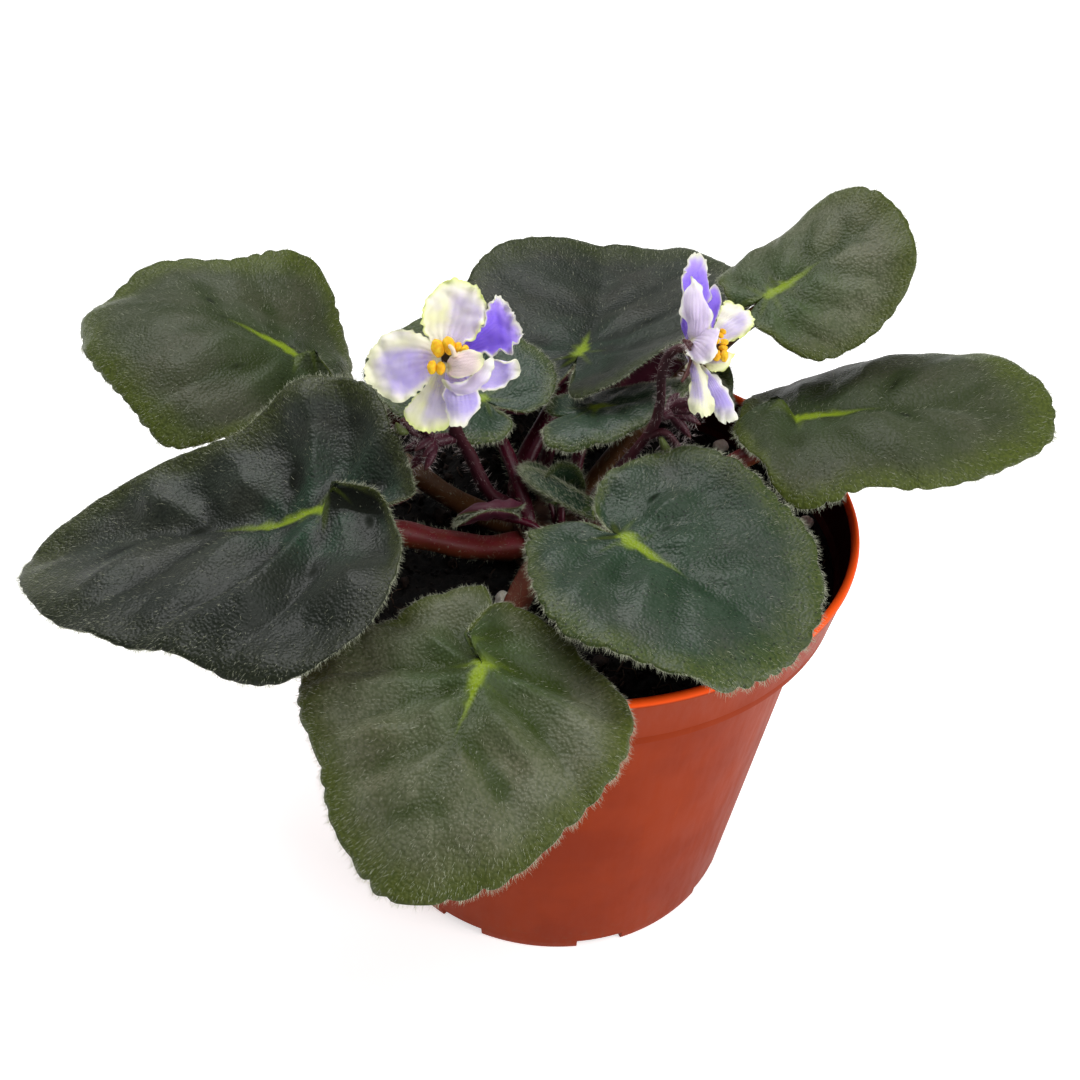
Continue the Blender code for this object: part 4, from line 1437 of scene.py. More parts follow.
PURPLE_LEAVES = ("inner_back", "young_back", "young_left")
LEAVES = (
    Leaf("front", (-12.5, -52.0, 88.5), 256, -1, -47, 0, 6, -13, 38.5,
         Half((35, 29, 26, 23, 15, 15, 14), -14, -1),
         Half((35.5, 30.6, 29.6, 28.2, 21, 20.5, 19.5), -16, 8),
         ring_base(256), 2.4, LeafTone.MOSS, StemTone.BROWN, quilt=2.7, teeth=1.0,
         roll_over=(1, 28.0, 4.0), roll_reach=20.0, hairs=3400, seed=11),
    Leaf("front_right", (8.5, -27.5, 94.5), 318, 6, -28, 2, -6, -2, 35,
         Half((33, 29, 24, 23, 19, 13, 7), 16, -6), Half((35, 29, 25, 19, 16, 15, 12), 13, -21),
         ring_base(304), 2.4, LeafTone.TEAL, StemTone.TAN, quilt=1.5, teeth=1.2, wave=1.0,
         hairs=2200, seed=22),
    Leaf("left", (-40.5, -18.5, 91.0), 167, -14, -10, 2, 7, 9, 58.8,
         Half((51.5, 42, 36.5, 38.5, 34, 23, 13.5), 7, -35),
         Half((37.5, 26.5, 28, 25.5, 18.5, 16, 16), 31, 5),
         ring_base(212), 2.5, LeafTone.INK, StemTone.RED, quilt=4.2, teeth=0.5, wave=0.5,
         streak=26.0, roll_over=(1, 92.0, 3.4), roll_reach=17.0, hairs=3400, across=320,
         rings=44, seed=33),
    Leaf("right", (39.5, 2.5, 98.5), 1, 22, -41, -8, 20, -6, 45,
         Half((42, 39, 30.5, 20.5, 15, 12, 12), 24, -57),
         Half((38, 30, 23.5, 24.5, 15, 12, 11), 27, -77),
         ring_base(5), 2.3, LeafTone.OLIVE, StemTone.RED, quilt=1.3, teeth=0.9, streak=17.0,
         roll_over=(-1, 30.0, 4.8), roll_reach=15.0, hairs=2600, seed=44),
    Leaf("back_right", (34.5, 21.0, 113.0), 27, 24, 13, 3, 10, -8, 28,
         Half((27, 24, 20, 15, 9, 6, 3), 24, -70), Half((27, 23, 19, 16, 10, 7, 5), 13, -62),
         ring_base(62), 2.1, LeafTone.MOSS, StemTone.TAN, quilt=0.9, teeth=0.6, streak=14.0,
         hairs=1500, across=240, rings=30, seed=55),
    Leaf("back", (1.5, 25.0, 97.0), 77, 0, -1, -7, 23, 17, 47.5,
         Half((48, 39, 32, 28, 25, 22, 18), 3, -28), Half((46.5, 41, 34, 28, 24, 23, 18), 23, -11),
         ring_base(130), 2.0, LeafTone.SLATE, StemTone.CRIMSON, quilt=1.3, teeth=0.6,
         streak=13.0, hairs=2600, seed=66),
    Leaf("back_left", (-52.4, 27.8, 93.1), 166, 37, -70, 8, -19, 7, 46,
         Half((41, 36, 34, 23, 17, 13, 10), 5, -41),
         Half((43.5, 33, 34.5, 26, 20, 15, 11), -24, 40),
         ring_base(165), 2.3, LeafTone.OLIVE, StemTone.TAN, quilt=1.2, teeth=1.0, streak=18.0,
         roll_over=(1, 60.0, 1.6), hairs=2600, seed=77),
    Leaf("inner_left", (-15.5, 9.0, 96.5), 139, 5, 7, -3, 1, -6, 24,
         Half((23, 21, 18, 16, 13, 12, 9), 20, -17), Half((24, 21, 18, 16, 14, 12, 9), 23, -26),
         top_base(216, 5.2), 1.5, LeafTone.TEAL, StemTone.CRIMSON, quilt=0.6, streak=9.0,
         hairs=2400, across=200, rings=26, seed=88),
    Leaf("inner_right", (4.0, 6.3, 97.2), 6, 11, 6, -6, -6, 7, 18.5,
         Half((17, 15, 13, 12, 11, 10, 8), 1, -33), Half((16, 14, 13, 13, 14, 11, 8), 33, -66),
         top_base(50, 4.8), 1.4, LeafTone.TEAL, StemTone.CRIMSON, quilt=0.6, teeth=0.8,
         streak=6.0, hairs=1900, across=200, rings=24, seed=99),
    Leaf("inner_back", (5.0, 31.0, 84.5), 355, 14, -26, 0, 0, 0, 27,
         Half((26, 20, 13, 9, 7, 5, 4), 50, 10), Half((26, 20, 13, 9, 7, 5, 4), 58, 10),
         ring_base(100), 1.5, LeafTone.TEAL, StemTone.CRIMSON, quilt=0.5, streak=6.0,
         hairs=2500, across=160, rings=24, seed=111),
    Leaf("young_front", (5.0, -9.0, 86.2), 156, 14, 6, 0, 0, 0, 16,
         Half((6.8, 3.6, 2.7, 2.3, 1.9, 1.5, 1.2), -5, -10),
         Half((6.8, 3.6, 2.7, 2.3, 1.9, 1.5, 1.2), 55, 10),
         top_base(292, 5.2), 0.9, LeafTone.TEAL, StemTone.CRIMSON, quilt=0.25, teeth=0.4,
         wave=0.3, streak=1.0, hairs=1200, across=110, rings=16, seed=122),
    Leaf("young_back", (-1.0, -2.6, 84.0), 95, 88, 4, 0, 0, 0, 8.5,
         Half((7.6, 6.0, 4.2, 3.0, 2.4, 1.8, 1.4), 10, 10),
         Half((7.6, 6.0, 4.2, 3.0, 2.4, 1.8, 1.4), 10, 10),
         top_base(315, 2.0), 0.8, LeafTone.TEAL, StemTone.CRIMSON, quilt=0.2, teeth=0.3,
         wave=0.3, streak=0.1, hairs=700, across=100, rings=14, seed=133),
    Leaf("young_round", (-3.3, -2.0, 86.0), 165, 42, -20, 0, 0, 0, 6.4,
         Half((5.8, 5.0, 4.0, 3.3, 2.8, 2.2, 1.6), 12, -20),
         Half((5.8, 5.0, 4.0, 3.3, 2.8, 2.2, 1.6), 12, -20),
         top_base(285, 1.0), 0.6, LeafTone.TEAL, StemTone.CRIMSON, quilt=0.2, teeth=0.3,
         wave=0.3, streak=0.1, hairs=500, across=100, rings=14, seed=155, packed=False),
    Leaf("young_left", (-10.5, -9.6, 86.0), 200, 20, -50, 0, 0, 0, 10,
         Half((8.6, 6.8, 4.6, 3.2, 2.6, 2.2, 1.6), 5, 40),
         Half((8.6, 7.4, 6.0, 5.0, 4.2, 3.4, 2.2), 60, 120),
         top_base(246, 5.8), 0.8, LeafTone.TEAL, StemTone.CRIMSON, quilt=0.2, teeth=0.3,
         wave=0.3, streak=0.1, hairs=700, across=100, rings=14, seed=144),
)


# ---------------------------------------------------------------- pot, mix and crown


@dataclass(frozen=True)
class Pot:
    """The turned plastic pot: a tapered tub, a stepped rim band and drain slots at the foot."""

    height: float = 81.0
    rim_radius: float = 52.5
    band_height: float = 10.0
    band_foot_radius: float = 50.4
    lip_height: float = 2.0
    lip_radius: float = 50.0
    shoulder_radius: float = 46.4
    base_radius: float = 35.5
    wall: float = 1.4
    slots: int = 8
    slot_half_angle: float = 7.26
    slot_height: float = 2.2
    slot_reach: float = 32.0
    slot_steps: int = 8
    wall_steps: int = 20
    inside_points: int = 9

    @property
    def shoulder(self) -> float:
        """Return the height of the shoulder under the rim band."""
        return self.height - self.band_height - self.lip_height

    def outer(self, height: float) -> float:
        """Return the outer radius of the tub at a height."""
        share = height / self.shoulder
        return self.base_radius + (self.shoulder_radius - self.base_radius) * share

    def inner(self, height: float) -> float:
        """Return the inner radius of the tub at a height."""
        return self.outer(height) - self.wall

    def profile(self) -> list[tuple[float, float]]:
        """Return the pot's section.

        Returns:
            Points of a radius and a height, from the floor's middle round.
        """
        foot, shoulder, wall = self.height - self.band_height, self.shoulder, self.wall
        rim, top = self.rim_radius, self.height
        bead = [(rim - 0.75 + 0.75 * math.cos(turn), top - 0.75 + 0.75 * math.sin(turn))
                for turn in np.linspace(math.pi, 0.0, 9)]
        return [
            (0.001, wall), (self.slot_reach, wall), (self.inner(wall), wall),
            (self.inner(self.slot_height), self.slot_height),
            (self.inner(shoulder - 0.5), shoulder - 0.5), (self.inner(shoulder), shoulder + wall),
            (self.lip_radius - wall, shoulder + wall), (rim - wall - 0.9, foot + 1.0),
            (rim - wall - 0.1, top - 1.4), *bead, (rim - 0.05, top - 1.3),
            (rim - 0.35, top - 1.6), (self.band_foot_radius + 0.06, foot + 0.5),
            (self.band_foot_radius - 0.05, foot + 0.1), (self.band_foot_radius - 0.35, foot),
            (self.lip_radius + 0.1, foot - 0.25), (self.lip_radius, shoulder + 0.3),
            (self.lip_radius - 0.3, shoulder), (self.shoulder_radius + 0.7, shoulder),
            (self.shoulder_radius + 0.1, shoulder - 0.25),
            (self.outer(shoulder - 1.2), shoulder - 1.2),
            (self.outer(46.0), 46.0), (self.outer(23.0), 23.0),
            (self.outer(self.slot_height), self.slot_height), (self.outer(0.6), 0.6),
            (self.base_radius - 0.12, 0.2), (self.base_radius - 0.6, 0.0),
            (self.slot_reach, 0.0), (0.001, 0.0),
        ]

    def angles(self) -> tuple[Array, Array]:
        """Return the section's angles round the pot.

        Returns:
            The angles, and whether a slot is open from each of them to the next.
        """
        angles, open_here = [], []
        for number in range(self.slots):
            middle = 360.0 * (number + 0.35) / self.slots
            start, end = middle - self.slot_half_angle, middle + self.slot_half_angle
            after = 360.0 * (number + 1.35) / self.slots - self.slot_half_angle
            angles += list(np.linspace(start, end, self.slot_steps, endpoint=False))
            angles += list(np.linspace(end, after, self.wall_steps, endpoint=False))
            open_here += [True] * self.slot_steps + [False] * self.wall_steps
        return np.radians(angles), np.array(open_here)

    def build(self, palette: Palette) -> None:
        """Build the pot as a closed shell, open at its drain slots.

        Args:
            palette: The materials.
        """
        profile = np.array(self.profile())
        angles, open_here = self.angles()
        count, steps = len(profile), len(angles)
        points = lifted(ringed(profile[:, 0], angles), np.repeat(profile[:, 1:], steps, 1))
        quads = grid_quads(count, steps, closed=True)
        row, column = np.divmod(np.arange(len(quads)), steps)
        foot_row = count - 6
        cut = np.isin(row, [1, 2, *range(foot_row, count - 2)]) & open_here[column]
        inside_top, inside_foot = 3 * steps, steps
        outside_top, outside_foot = foot_row * steps, (count - 2) * steps
        here = np.flatnonzero(open_here)
        there = (here + 1) % steps
        roof = np.stack([inside_top + here, inside_top + there, outside_top + there,
                         outside_top + here], -1)
        back = np.stack([inside_foot + there, inside_foot + here, outside_foot + here,
                         outside_foot + there], -1)
        starts = here[::self.slot_steps]
        ends = (here[self.slot_steps - 1::self.slot_steps] + 1) % steps
        ring = [1, 2, 3, *range(foot_row, count - 1)]
        sides = []
        for line, flip in ((starts, 1), (ends, -1)):
            for first, second in zip(ring[1:], ring[2:]):
                corners = (ring[0], first, second)[::flip]
                sides.append(np.stack([level * steps + line for level in corners], -1))
        # Marks the inner wall and floor, which the finish paints with near-black shade.
        inside = np.repeat(np.arange(count) < self.inside_points, steps).astype(float)
        skin = Skin(points.reshape(-1, 3), np.vstack([quads[~cut], roof, back]),
                    np.vstack(sides), {"inside": inside})
        skin.piece("pot_shell", palette(PotFinish()), "terracotta_plastic", ("pot",))
        bpy.data.objects["pot_shell"].data.set_sharp_from_angle(angle=math.radians(38))


def mix_height(radius: Array) -> Array:
    """Return the height of the mix at a distance from the pot's axis."""
    return MIX_TOP - MIX_DIP * np.minimum(radius / MIX_REACH, 1.0) ** 2


def ball(level: int) -> tuple[Array, Array]:
    """Return a ball of radius 1, grown from an icosahedron.

    Args:
        level: How often its faces are divided.

    Returns:
        Its points and its triangles.
    """
    shape = bmesh.new()
    bmesh.ops.create_icosphere(shape, subdivisions=level, radius=1.0)
    points = np.array([vert.co for vert in shape.verts])
    tris = np.array([[vert.index for vert in face.verts] for face in shape.faces])
    shape.free()
    return points, tris


def turned_frames(rng: Rng, count: int) -> Array:
    """Return random rotations.

    Args:
        rng: The source of randomness.
        count: How many there are.

    Returns:
        A matrix for each.
    """
    first = unit(rng.normal(size=(count, 3)))
    second = unit(np.cross(first, rng.normal(size=(count, 3))))
    return np.stack([first, second, np.cross(first, second)], 1)


@dataclass(frozen=True)
class PottingMix:
    """Dark peat in the pot: an uneven top, crumbs, bark and fibres, and pale grains.

    Each grain has its place across and along the pot, and its radius.
    """

    edge: float = 49.2
    rings: int = 84
    steps: int = 260
    crumbs: int = 2600
    chips: int = 130
    fibres: int = 150
    grains: tuple[Point, ...] = ((31.0, 33.0, 1.5), (-10.5, -18.5, 1.6), (45.5, 8.5, 1.3),
                                 (-28.0, 14.0, 1.4))

    def build(self, palette: Palette, pot: Pot) -> None:
        """Build the body of the mix and all that lies on it.

        Args:
            palette: The materials.
            pot: The pot around it.
        """
        rng = np.random.default_rng(5)
        self.body(palette, pot)
        self.litter(palette, rng)
        self.perlite(palette)

    def top(self, spots: Array) -> Array:
        """Return the height of the uneven top.

        Args:
            spots: Flat places in the pot.

        Returns:
            The height at each of them.
        """
        lumps = 0.75 * ripple(spots, 7.0, 3) + 0.45 * ripple(spots, 2.6, 4)
        lumps = lumps + 0.25 * ripple(spots, 1.2, 6)
        radius = np.hypot(spots[..., 0], spots[..., 1])
        return mix_height(radius) - 0.5 + lumps * ease(50.0, 46.0, radius)

    def body(self, palette: Palette, pot: Pot) -> None:
        """Build the closed body of the mix, inside the pot's wall.

        Args:
            palette: The materials.
            pot: The pot around it.
        """
        gap, foot = 0.3, 1.7
        shoulder = pot.shoulder
        angles = turns(self.steps)
        top = ringed(np.concatenate([[0.05], np.linspace(0.6, self.edge, self.rings)]), angles)
        skirt = np.array([(self.edge, shoulder + pot.wall + gap),
                          (pot.inner(shoulder) - gap, shoulder + 1.5),
                          (pot.inner(shoulder) - gap, shoulder),
                          (pot.inner(foot) - gap, foot), (0.05, foot)])
        side = lifted(ringed(skirt[:, 0], angles), np.repeat(skirt[:, 1:], self.steps, 1))
        rings = np.concatenate([lifted(top, self.top(top)), side])
        capped(rings, [rings[0].mean(0), foot * UP], {}, inward=True).piece(
            "mix_body", palette(Grain.PEAT), "potting_mix", ("potting_mix",))

    def spots(self, count: int, rng: Rng) -> Array:
        """Return random places on the top of the mix, clear of the crown.

        Args:
            count: How many are tried.
            rng: The source of randomness.

        Returns:
            The places.
        """
        radius = (self.edge - 1.2) * np.sqrt(rng.random(count))
        turn = math.tau * rng.random(count)
        flat = np.stack([radius * np.cos(turn), radius * np.sin(turn)], -1)
        clear = np.hypot(flat[:, 0] - CROWN_X, flat[:, 1] - CROWN_Y) > CROWN_RADIUS + 0.5
        flat = flat[clear]
        return lifted(flat, self.top(flat))

    def litter(self, palette: Palette, rng: Rng) -> None:
        """Scatter crumbs, bark chips and fibres over the top.

        Args:
            palette: The materials.
            rng: The source of randomness.
        """
        for name, count, low, high, level, grain in (
            ("mix_crumbs", self.crumbs, 0.25, 0.85, 1, Grain.CRUMB),
            ("mix_bark", self.chips, 0.8, 1.7, 2, Grain.BARK),
        ):
            spots = self.spots(count, rng)
            points, tris = ball(level)
            sizes = rng.uniform(low, high, len(spots)) ** 1.5
            frames = turned_frames(rng, len(spots))
            flatten = rng.uniform(0.45, 1.0, (len(spots), 1, 3))
            lumps = 1.0 + 0.28 * rng.normal(size=(len(spots), len(points), 1)).clip(-1.5, 1.5)
            shapes = (points[None] * lumps * flatten) @ frames * sizes[:, None, None]
            raised = spots + 0.25 * sizes[:, None] * UP
            shapes = shapes + raised[:, None]
            faces = tris[None] + np.arange(len(spots))[:, None, None] * len(points)
            skin = Skin(shapes.reshape(-1, 3), no_faces(4), faces.reshape(-1, 3), {})
            skin.piece(name, palette(grain), "potting_mix", smooth=level > 1)
        fibres = []
        for spot in self.spots(self.fibres, rng):
            heading, length = rng.uniform(0, math.tau), rng.uniform(1.5, 5.0)
            bend = rng.uniform(-0.4, 0.4)
            run = np.linspace(-0.5, 0.5, 5) * length
            flat = np.stack([run * math.cos(heading) - bend * run**2 * math.sin(heading),
                             run * math.sin(heading) + bend * run**2 * math.cos(heading)], -1)
            flat = spot[:2] + flat
            if np.hypot(*flat.T).max() < self.edge - 0.6:
                route = lifted(flat, self.top(flat) + 0.3)
                fibres.append(sweep(route, rng.uniform(0.08, 0.18) * np.ones(5), 5))
        Skin.joined(fibres).piece("mix_fibres", palette(Grain.FIBRE), "potting_mix")

    def perlite(self, palette: Palette) -> None:
        """Build the pale grains, pitted and lumpy.

        Args:
            palette: The materials.
        """
        points, tris = ball(4)
        for number, (across, along, radius) in enumerate(self.grains, start=1):
            lumps = 1.0 + 0.12 * ripple(points, 1.4, number)
            lumps = lumps + 0.05 * ripple(points, 0.45, number + 20)
            height = mix_height(math.hypot(across, along)) + 0.62 * radius
            shape = points * lumps[:, None] * radius * (1.0, 0.9, 0.8)
            skin = Skin(shape + (across, along, height), no_faces(4), tris, {})
            skin.piece(f"grain_{number}", palette(Grain.PERLITE), "perlite",
                       (f"perlite_grain_{number}",))


@dataclass(frozen=True)
class Crown:
    """The short, scarred stump that all the stalks leave from, and the height of its foot."""

    foot: float = 72.2

    def build(self, palette: Palette) -> None:
        """Build the stump.

        Args:
            palette: The materials.
        """
        rows, steps = 30, 72
        share = np.linspace(0.0, 1.0, rows)
        height = self.foot + (CROWN_TOP - self.foot) * np.minimum(share * 1.35, 1.0)
        reach = CROWN_RADIUS * np.where(share < 0.74, 1.0, 1.0 - ((share - 0.74) / 0.26) ** 3)
        angles = turns(steps)
        rise = np.repeat(height[:, None], steps, 1)
        points = lifted(ringed(np.maximum(reach, 0.02), angles), rise)
        scar = np.sin(rise * 2.6 + 3.0 * np.sin(angles * 2.0))
        swell = 0.95 + 0.035 * scar + 0.03 * ripple(points, 3.0, 8)
        points[..., :2] *= swell[..., None]
        points += (CROWN_X, CROWN_Y, 0.0)
        points[..., 2] -= 0.35 * (1.0 + ripple(points, 2.5, 9)) * (share > 0.7)[:, None]
        place = np.tile((0.3, 0.2, 0.0), (rows * steps + 2, 1))
        capped(points, [points[0].mean(0), points[-1].mean(0)], {"place": place}).piece(
            "crown_stump", palette(StemTone.CROWN), "crown", ("crown",))


# ---------------------------------------------------------------- flowers


def slab(middle: Array, thickness: Array, marks: dict[str, Array]) -> Skin:
    """Return a closed sheet of some thickness about a grid of points.

    Args:
        middle: The grid's points, as rows of columns.
        thickness: The whole thickness at each point.
        marks: What to store at each point of the grid.

    Returns:
        The sheet's skin.
    """
    rows, columns = middle.shape[:2]
    normal = unit(np.cross(np.gradient(middle, axis=0), np.gradient(middle, axis=1)))
    shift = normal * thickness[..., None] / 2
    face = rows * columns
    grid = grid_quads(rows, columns)
    edges = ((np.arange(columns), 1), (face - columns + np.arange(columns), -1),
             (np.arange(rows) * columns, -1), (np.arange(1, rows + 1) * columns - 1, 1))
    sides = [strip(line, face)[:, ::turn] for line, turn in edges]
    points = np.vstack([(middle + shift).reshape(-1, 3), (middle - shift).reshape(-1, 3)])
    twice = {key: np.concatenate([values.reshape(face, -1).squeeze()] * 2)
             for key, values in marks.items()}
    return Skin(points, np.vstack([grid, grid[:, ::-1] + face, *sides]), no_faces(3), twice)


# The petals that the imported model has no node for, and the azimuth and elevation, in degrees,
# that the flowers' own points are laid out against.
EXTRA_PETALS = ("right_fold", "collar", "cup", "side_cup")
EASEL = (-90.0, 37.4)

# A petal's points across and along, its thickness at the root, and how many sepals and buds a
# flower has.
PETAL_COLUMNS = 71
PETAL_ROWS = 48
PETAL_THICKNESS = 0.40
SEPALS = 5
BUDS = 9


def flower_frame(facing: tuple[float, float]) -> tuple[Array, Array, Array]:
    """Return the directions out of, up and across a flower that faces some way.

    Args:
        facing: The azimuth and the elevation it faces, in degrees.

    Returns:
        The axis, the upward and the sideways direction.
    """
    azimuth, elevation = (math.radians(angle) for angle in facing)
    axis = np.array([math.cos(azimuth) * math.cos(elevation),
                     math.sin(azimuth) * math.cos(elevation), math.sin(elevation)])
    sideways = np.array([-math.sin(azimuth), math.cos(azimuth), 0.0])
    return axis, np.cross(axis, sideways), sideways


def hung(centre: Point, points: Array) -> Array:
    """Return the places of points given to the right of, above and out of a flower's centre."""
    axis, upward, sideways = flower_frame(EASEL)
    return np.array(centre) + np.asarray(points, float) @ np.array([sideways, upward, axis])


@dataclass(frozen=True)
class Petal:
    """A ruffled petal, draped over a line up its middle and one along each side.

    Each line runs from the root through a halfway point to an end. The points are to the right
    of, above and out of the flower's centre.
    """

    name: str
    root: Point
    left: tuple[Point, Point]
    middle: tuple[Point, Point]
    right: tuple[Point, Point]
    bloom: Bloom
    ruffle: float = 0.5
    seed: int = 1

    def drape(self, across: Array, along: Array) -> Array:
        """Return the points of the petal's smooth sheet.

        Args:
            across: Shares of the width, from -1 on the left to 1 on the right.
            along: Shares of the length, from the root.

        Returns:
            An array of points.
        """
        root = np.array(self.root)
        wide = unit(np.array(self.right[0]) - self.left[0])
        share = along[..., None]
        lines = []
        for line, shift in ((self.left, -0.5), (self.middle, 0.0), (self.right, 0.5)):
            half, end = np.array(line)
            lines.append((root + wide * shift) * (1 - share) * (1 - 2 * share)
                         + half * 4 * share * (1 - share) + end * share * (2 * share - 1))
        left, middle, right = lines
        turn = across[..., None]
        return middle + turn * (right - left) / 2 + turn**2 * ((right + left) / 2 - middle)

    def build(self, flower: Flower, palette: Palette, slot: str) -> None:
        """Build the petal.

        Args:
            flower: The flower that it belongs to.
            palette: The materials.
            slot: The record's slot for its colour.
        """
        across, along = np.meshgrid(np.linspace(-1, 1, PETAL_COLUMNS),
                                    np.linspace(0.0, 1, PETAL_ROWS))
        width = np.linalg.norm(np.array(self.right[1]) - self.left[1])
        spot = across[..., None] * width / 2
        lobes = 0.012 * np.sin(across * 5.0 + self.seed) + 0.010 * ripple(spot, 2.4, self.seed)
        teeth = 0.012 * ripple(spot, 0.9, self.seed + 2)
        reach = along * (1.0 - 0.13 * np.abs(across) ** 4 + (lobes + teeth) * along**3)
        jag = 0.03 * ripple(along[..., None] * 10.0, 1.6, self.seed + 3) * np.abs(across) ** 8
        sheet = self.drape(across * (1.0 + jag), reach)
        rim = np.maximum(along, np.abs(across) ** 1.5 * ease(0.0, 0.35, along))
        normal = unit(np.cross(np.gradient(sheet, axis=1), np.gradient(sheet, axis=0)))
        lift = self.ruffle * rim**4 * ripple(sheet, 4.2, self.seed + 4)
        lift += 0.60 * self.ruffle * rim**5 * ripple(sheet, 1.8, self.seed + 5)
        lift += 0.17 * ripple(sheet, 3.2, self.seed + 6) + 0.05 * np.cos(across * 26.0) * (1 - rim)
        middle = hung(flower.centre, sheet + normal * lift[..., None])
        thickness = PETAL_THICKNESS * (1.0 - 0.6 * rim**4)
        marks = {"petal": np.stack([rim, across, along * 10.0 + self.seed * 30.0], -1)}
        name = f"flower_{flower.name}_petal_{self.name}"
        stands_for = () if self.name in EXTRA_PETALS else (name,)
        slab(middle, thickness, marks).piece(f"{name}_blade", palette(self.bloom), slot,
                                             stands_for)


@dataclass(frozen=True)
class Anther:
    """A two-lobed anther, set from the flower's centre: sideways, upward, out, and its size."""

    sideways: float
    upward: float
    out: float
    size: float
    turn: float


@dataclass(frozen=True)
class Flower:
    """A flower on its stem, with petals, anthers, a calyx and a cluster of buds.

    The slots are the petals' own, in their order. The seat is the foot of the calyx and the
    pistil its route, both from the centre. The buds are set by their middle and by where they
    leave the stem. A sprig is green or not, and has a radius and a route.
    """

    name: str
    centre: Point
    facing: tuple[float, float]
    petals: tuple[Petal, ...]
    slots: tuple[str, ...]
    anthers: tuple[Anther, ...]
    route: tuple[Point, ...]
    buds: tuple[Point, Point]
    seat: Point
    pistil: tuple[Point, Point, Point]
    sprigs: tuple[tuple[bool, float, tuple[Point, ...]], ...]
    stem_radius: float = 1.3
    seed: int = 1

    def build(self, palette: Palette) -> None:
        """Build the whole flower.

        Args:
            palette: The materials.
        """
        rng = np.random.default_rng(self.seed)
        for petal, slot in zip(self.petals, self.slots):
            petal.build(self, palette, slot)
        self.cluster(palette)
        self.stem(palette, rng)
        self.calyx(palette, rng)
        self.bud_cluster(palette, rng)
        self.sprig_group(palette, rng)

    def cluster(self, palette: Palette) -> None:
        """Build the golden anthers and the pale pistil between them.

        Args:
            palette: The materials.
        """
        axis, upward, sideways = flower_frame(EASEL)
        points, tris = ball(4)
        lobes = []
        for anther in self.anthers:
            turn = math.radians(anther.turn)
            split = sideways * math.cos(turn) + upward * math.sin(turn)
            length = np.cross(axis, split)
            for sign in (-1.0, 1.0):
                centre = (np.array(self.centre) + sideways * anther.sideways
                          + upward * anther.upward + axis * anther.out
                          + split * (0.62 * anther.size * sign))
                lump = 1.0 + 0.05 * ripple(points, 0.9, self.seed + len(lobes))
                pinch = 1.0 - 0.18 * np.exp(-((points[:, 2] / 0.35) ** 2))
                shape = points * lump[:, None] * anther.size
                lobes.append(Skin(centre + np.outer(shape[:, 0] * 0.78 * pinch, split)
                                  + np.outer(shape[:, 1], length)
                                  + np.outer(shape[:, 2] * 0.85, axis), no_faces(4), tris, {}))
        Skin.joined(lobes).piece(f"flower_{self.name}_anther_lobes", palette(Grain.ANTHER),
                                 "anthers", (f"flower_{self.name}_anthers",))
        route = smooth_route(list(hung(self.centre, self.pistil)), 6)
        radii = 0.34 + 0.12 * np.linspace(0, 1, len(route)) ** 4
        sweep(route, radii, 12).piece(f"flower_{self.name}_pistil", palette(Grain.PISTIL),
                                      "petal_cream")

    def stem(self, palette: Palette, rng: Rng) -> None:
        """Build the hairy stem from the crown to the calyx.

        Args:
            palette: The materials.
            rng: The source of randomness.
        """
        axis, _, _ = flower_frame(self.facing)
        end = np.array(self.centre) + self.seat
        first = np.array(self.route[0]) + (0.0, 0.0, -1.5)
        route = smooth_route([first, *self.route, end - axis * 0.9, end + axis * 0.3], 9)
        share = np.linspace(0, 1, len(route))
        radii = self.stem_radius * (1.0 - 0.25 * share) * (1 + 0.05 * ripple(route, 5.0, 3))
        name = f"flower_{self.name}_stem"
        sweep(route, radii, 18).piece(f"{name}_body", palette(StemTone.MAROON), "flower_stem",
                                      (name,))
        coat = stem_hairs(route[8:], self.stem_radius * 0.85, 12.0, LONG, rng)
        coat.piece(f"{name}_hairs", palette(HairTone.STEM), "flower_stem", smooth=False)

    def calyx(self, palette: Palette, rng: Rng) -> None:
        """Build the calyx: a small cup and five narrow sepals behind the petals.

        Args:
            palette: The materials.
            rng: The source of randomness.
        """
        axis, upward, sideways = flower_frame(self.facing)
        rear = np.array(self.centre) + self.seat
        route = rear + axis * np.linspace(0.0, 2.4, 9)[:, None]
        radii = np.array([0.6, 0.95, 1.1, 1.2, 1.3, 1.35, 1.4, 1.3, 1.0])
        skins = [sweep(route, radii, 20)]
        coats = [stem_hairs(route[1:-1], 1.2, 22.0, BRISTLE, rng)]
        for number in range(SEPALS):
            angle = math.tau * (number + 0.35) / SEPALS
            outward = upward * math.cos(angle) + sideways * math.sin(angle)
            tangent = np.cross(axis, outward)
            across, along = np.meshgrid(np.linspace(-1, 1, 9), np.linspace(0, 1, 22))
            half = 0.85 * (0.55 + 0.6 * along) * (1.0 - along**2.2) + 0.06
            lean = np.radians(45.0 + 35.0 * along)
            run = 5.2 * along
            middle = (rear + axis * 1.2 + outward * 0.7
                      + outward * (run * np.sin(lean))[..., None]
                      + axis * (run * np.cos(lean) * 0.55)[..., None]
                      + tangent * (half * across)[..., None]
                      + axis * (0.25 * across**2)[..., None])
            place = np.stack([0.4 * along, -across * 0.3, 0 * along], -1)
            skins.append(slab(middle, np.full(along.shape, 0.4), {"place": place}))
            coats.append(stem_hairs(middle[2:, 4], 0.4, 26.0, BRISTLE, rng))
        name = f"flower_{self.name}_calyx"
        Skin.joined(skins).piece(f"{name}_lobes", palette(StemTone.CALYX), "calyx", (name,))
        Skin.joined(coats).piece(f"{name}_hairs", palette(HairTone.STEM), "calyx", smooth=False)

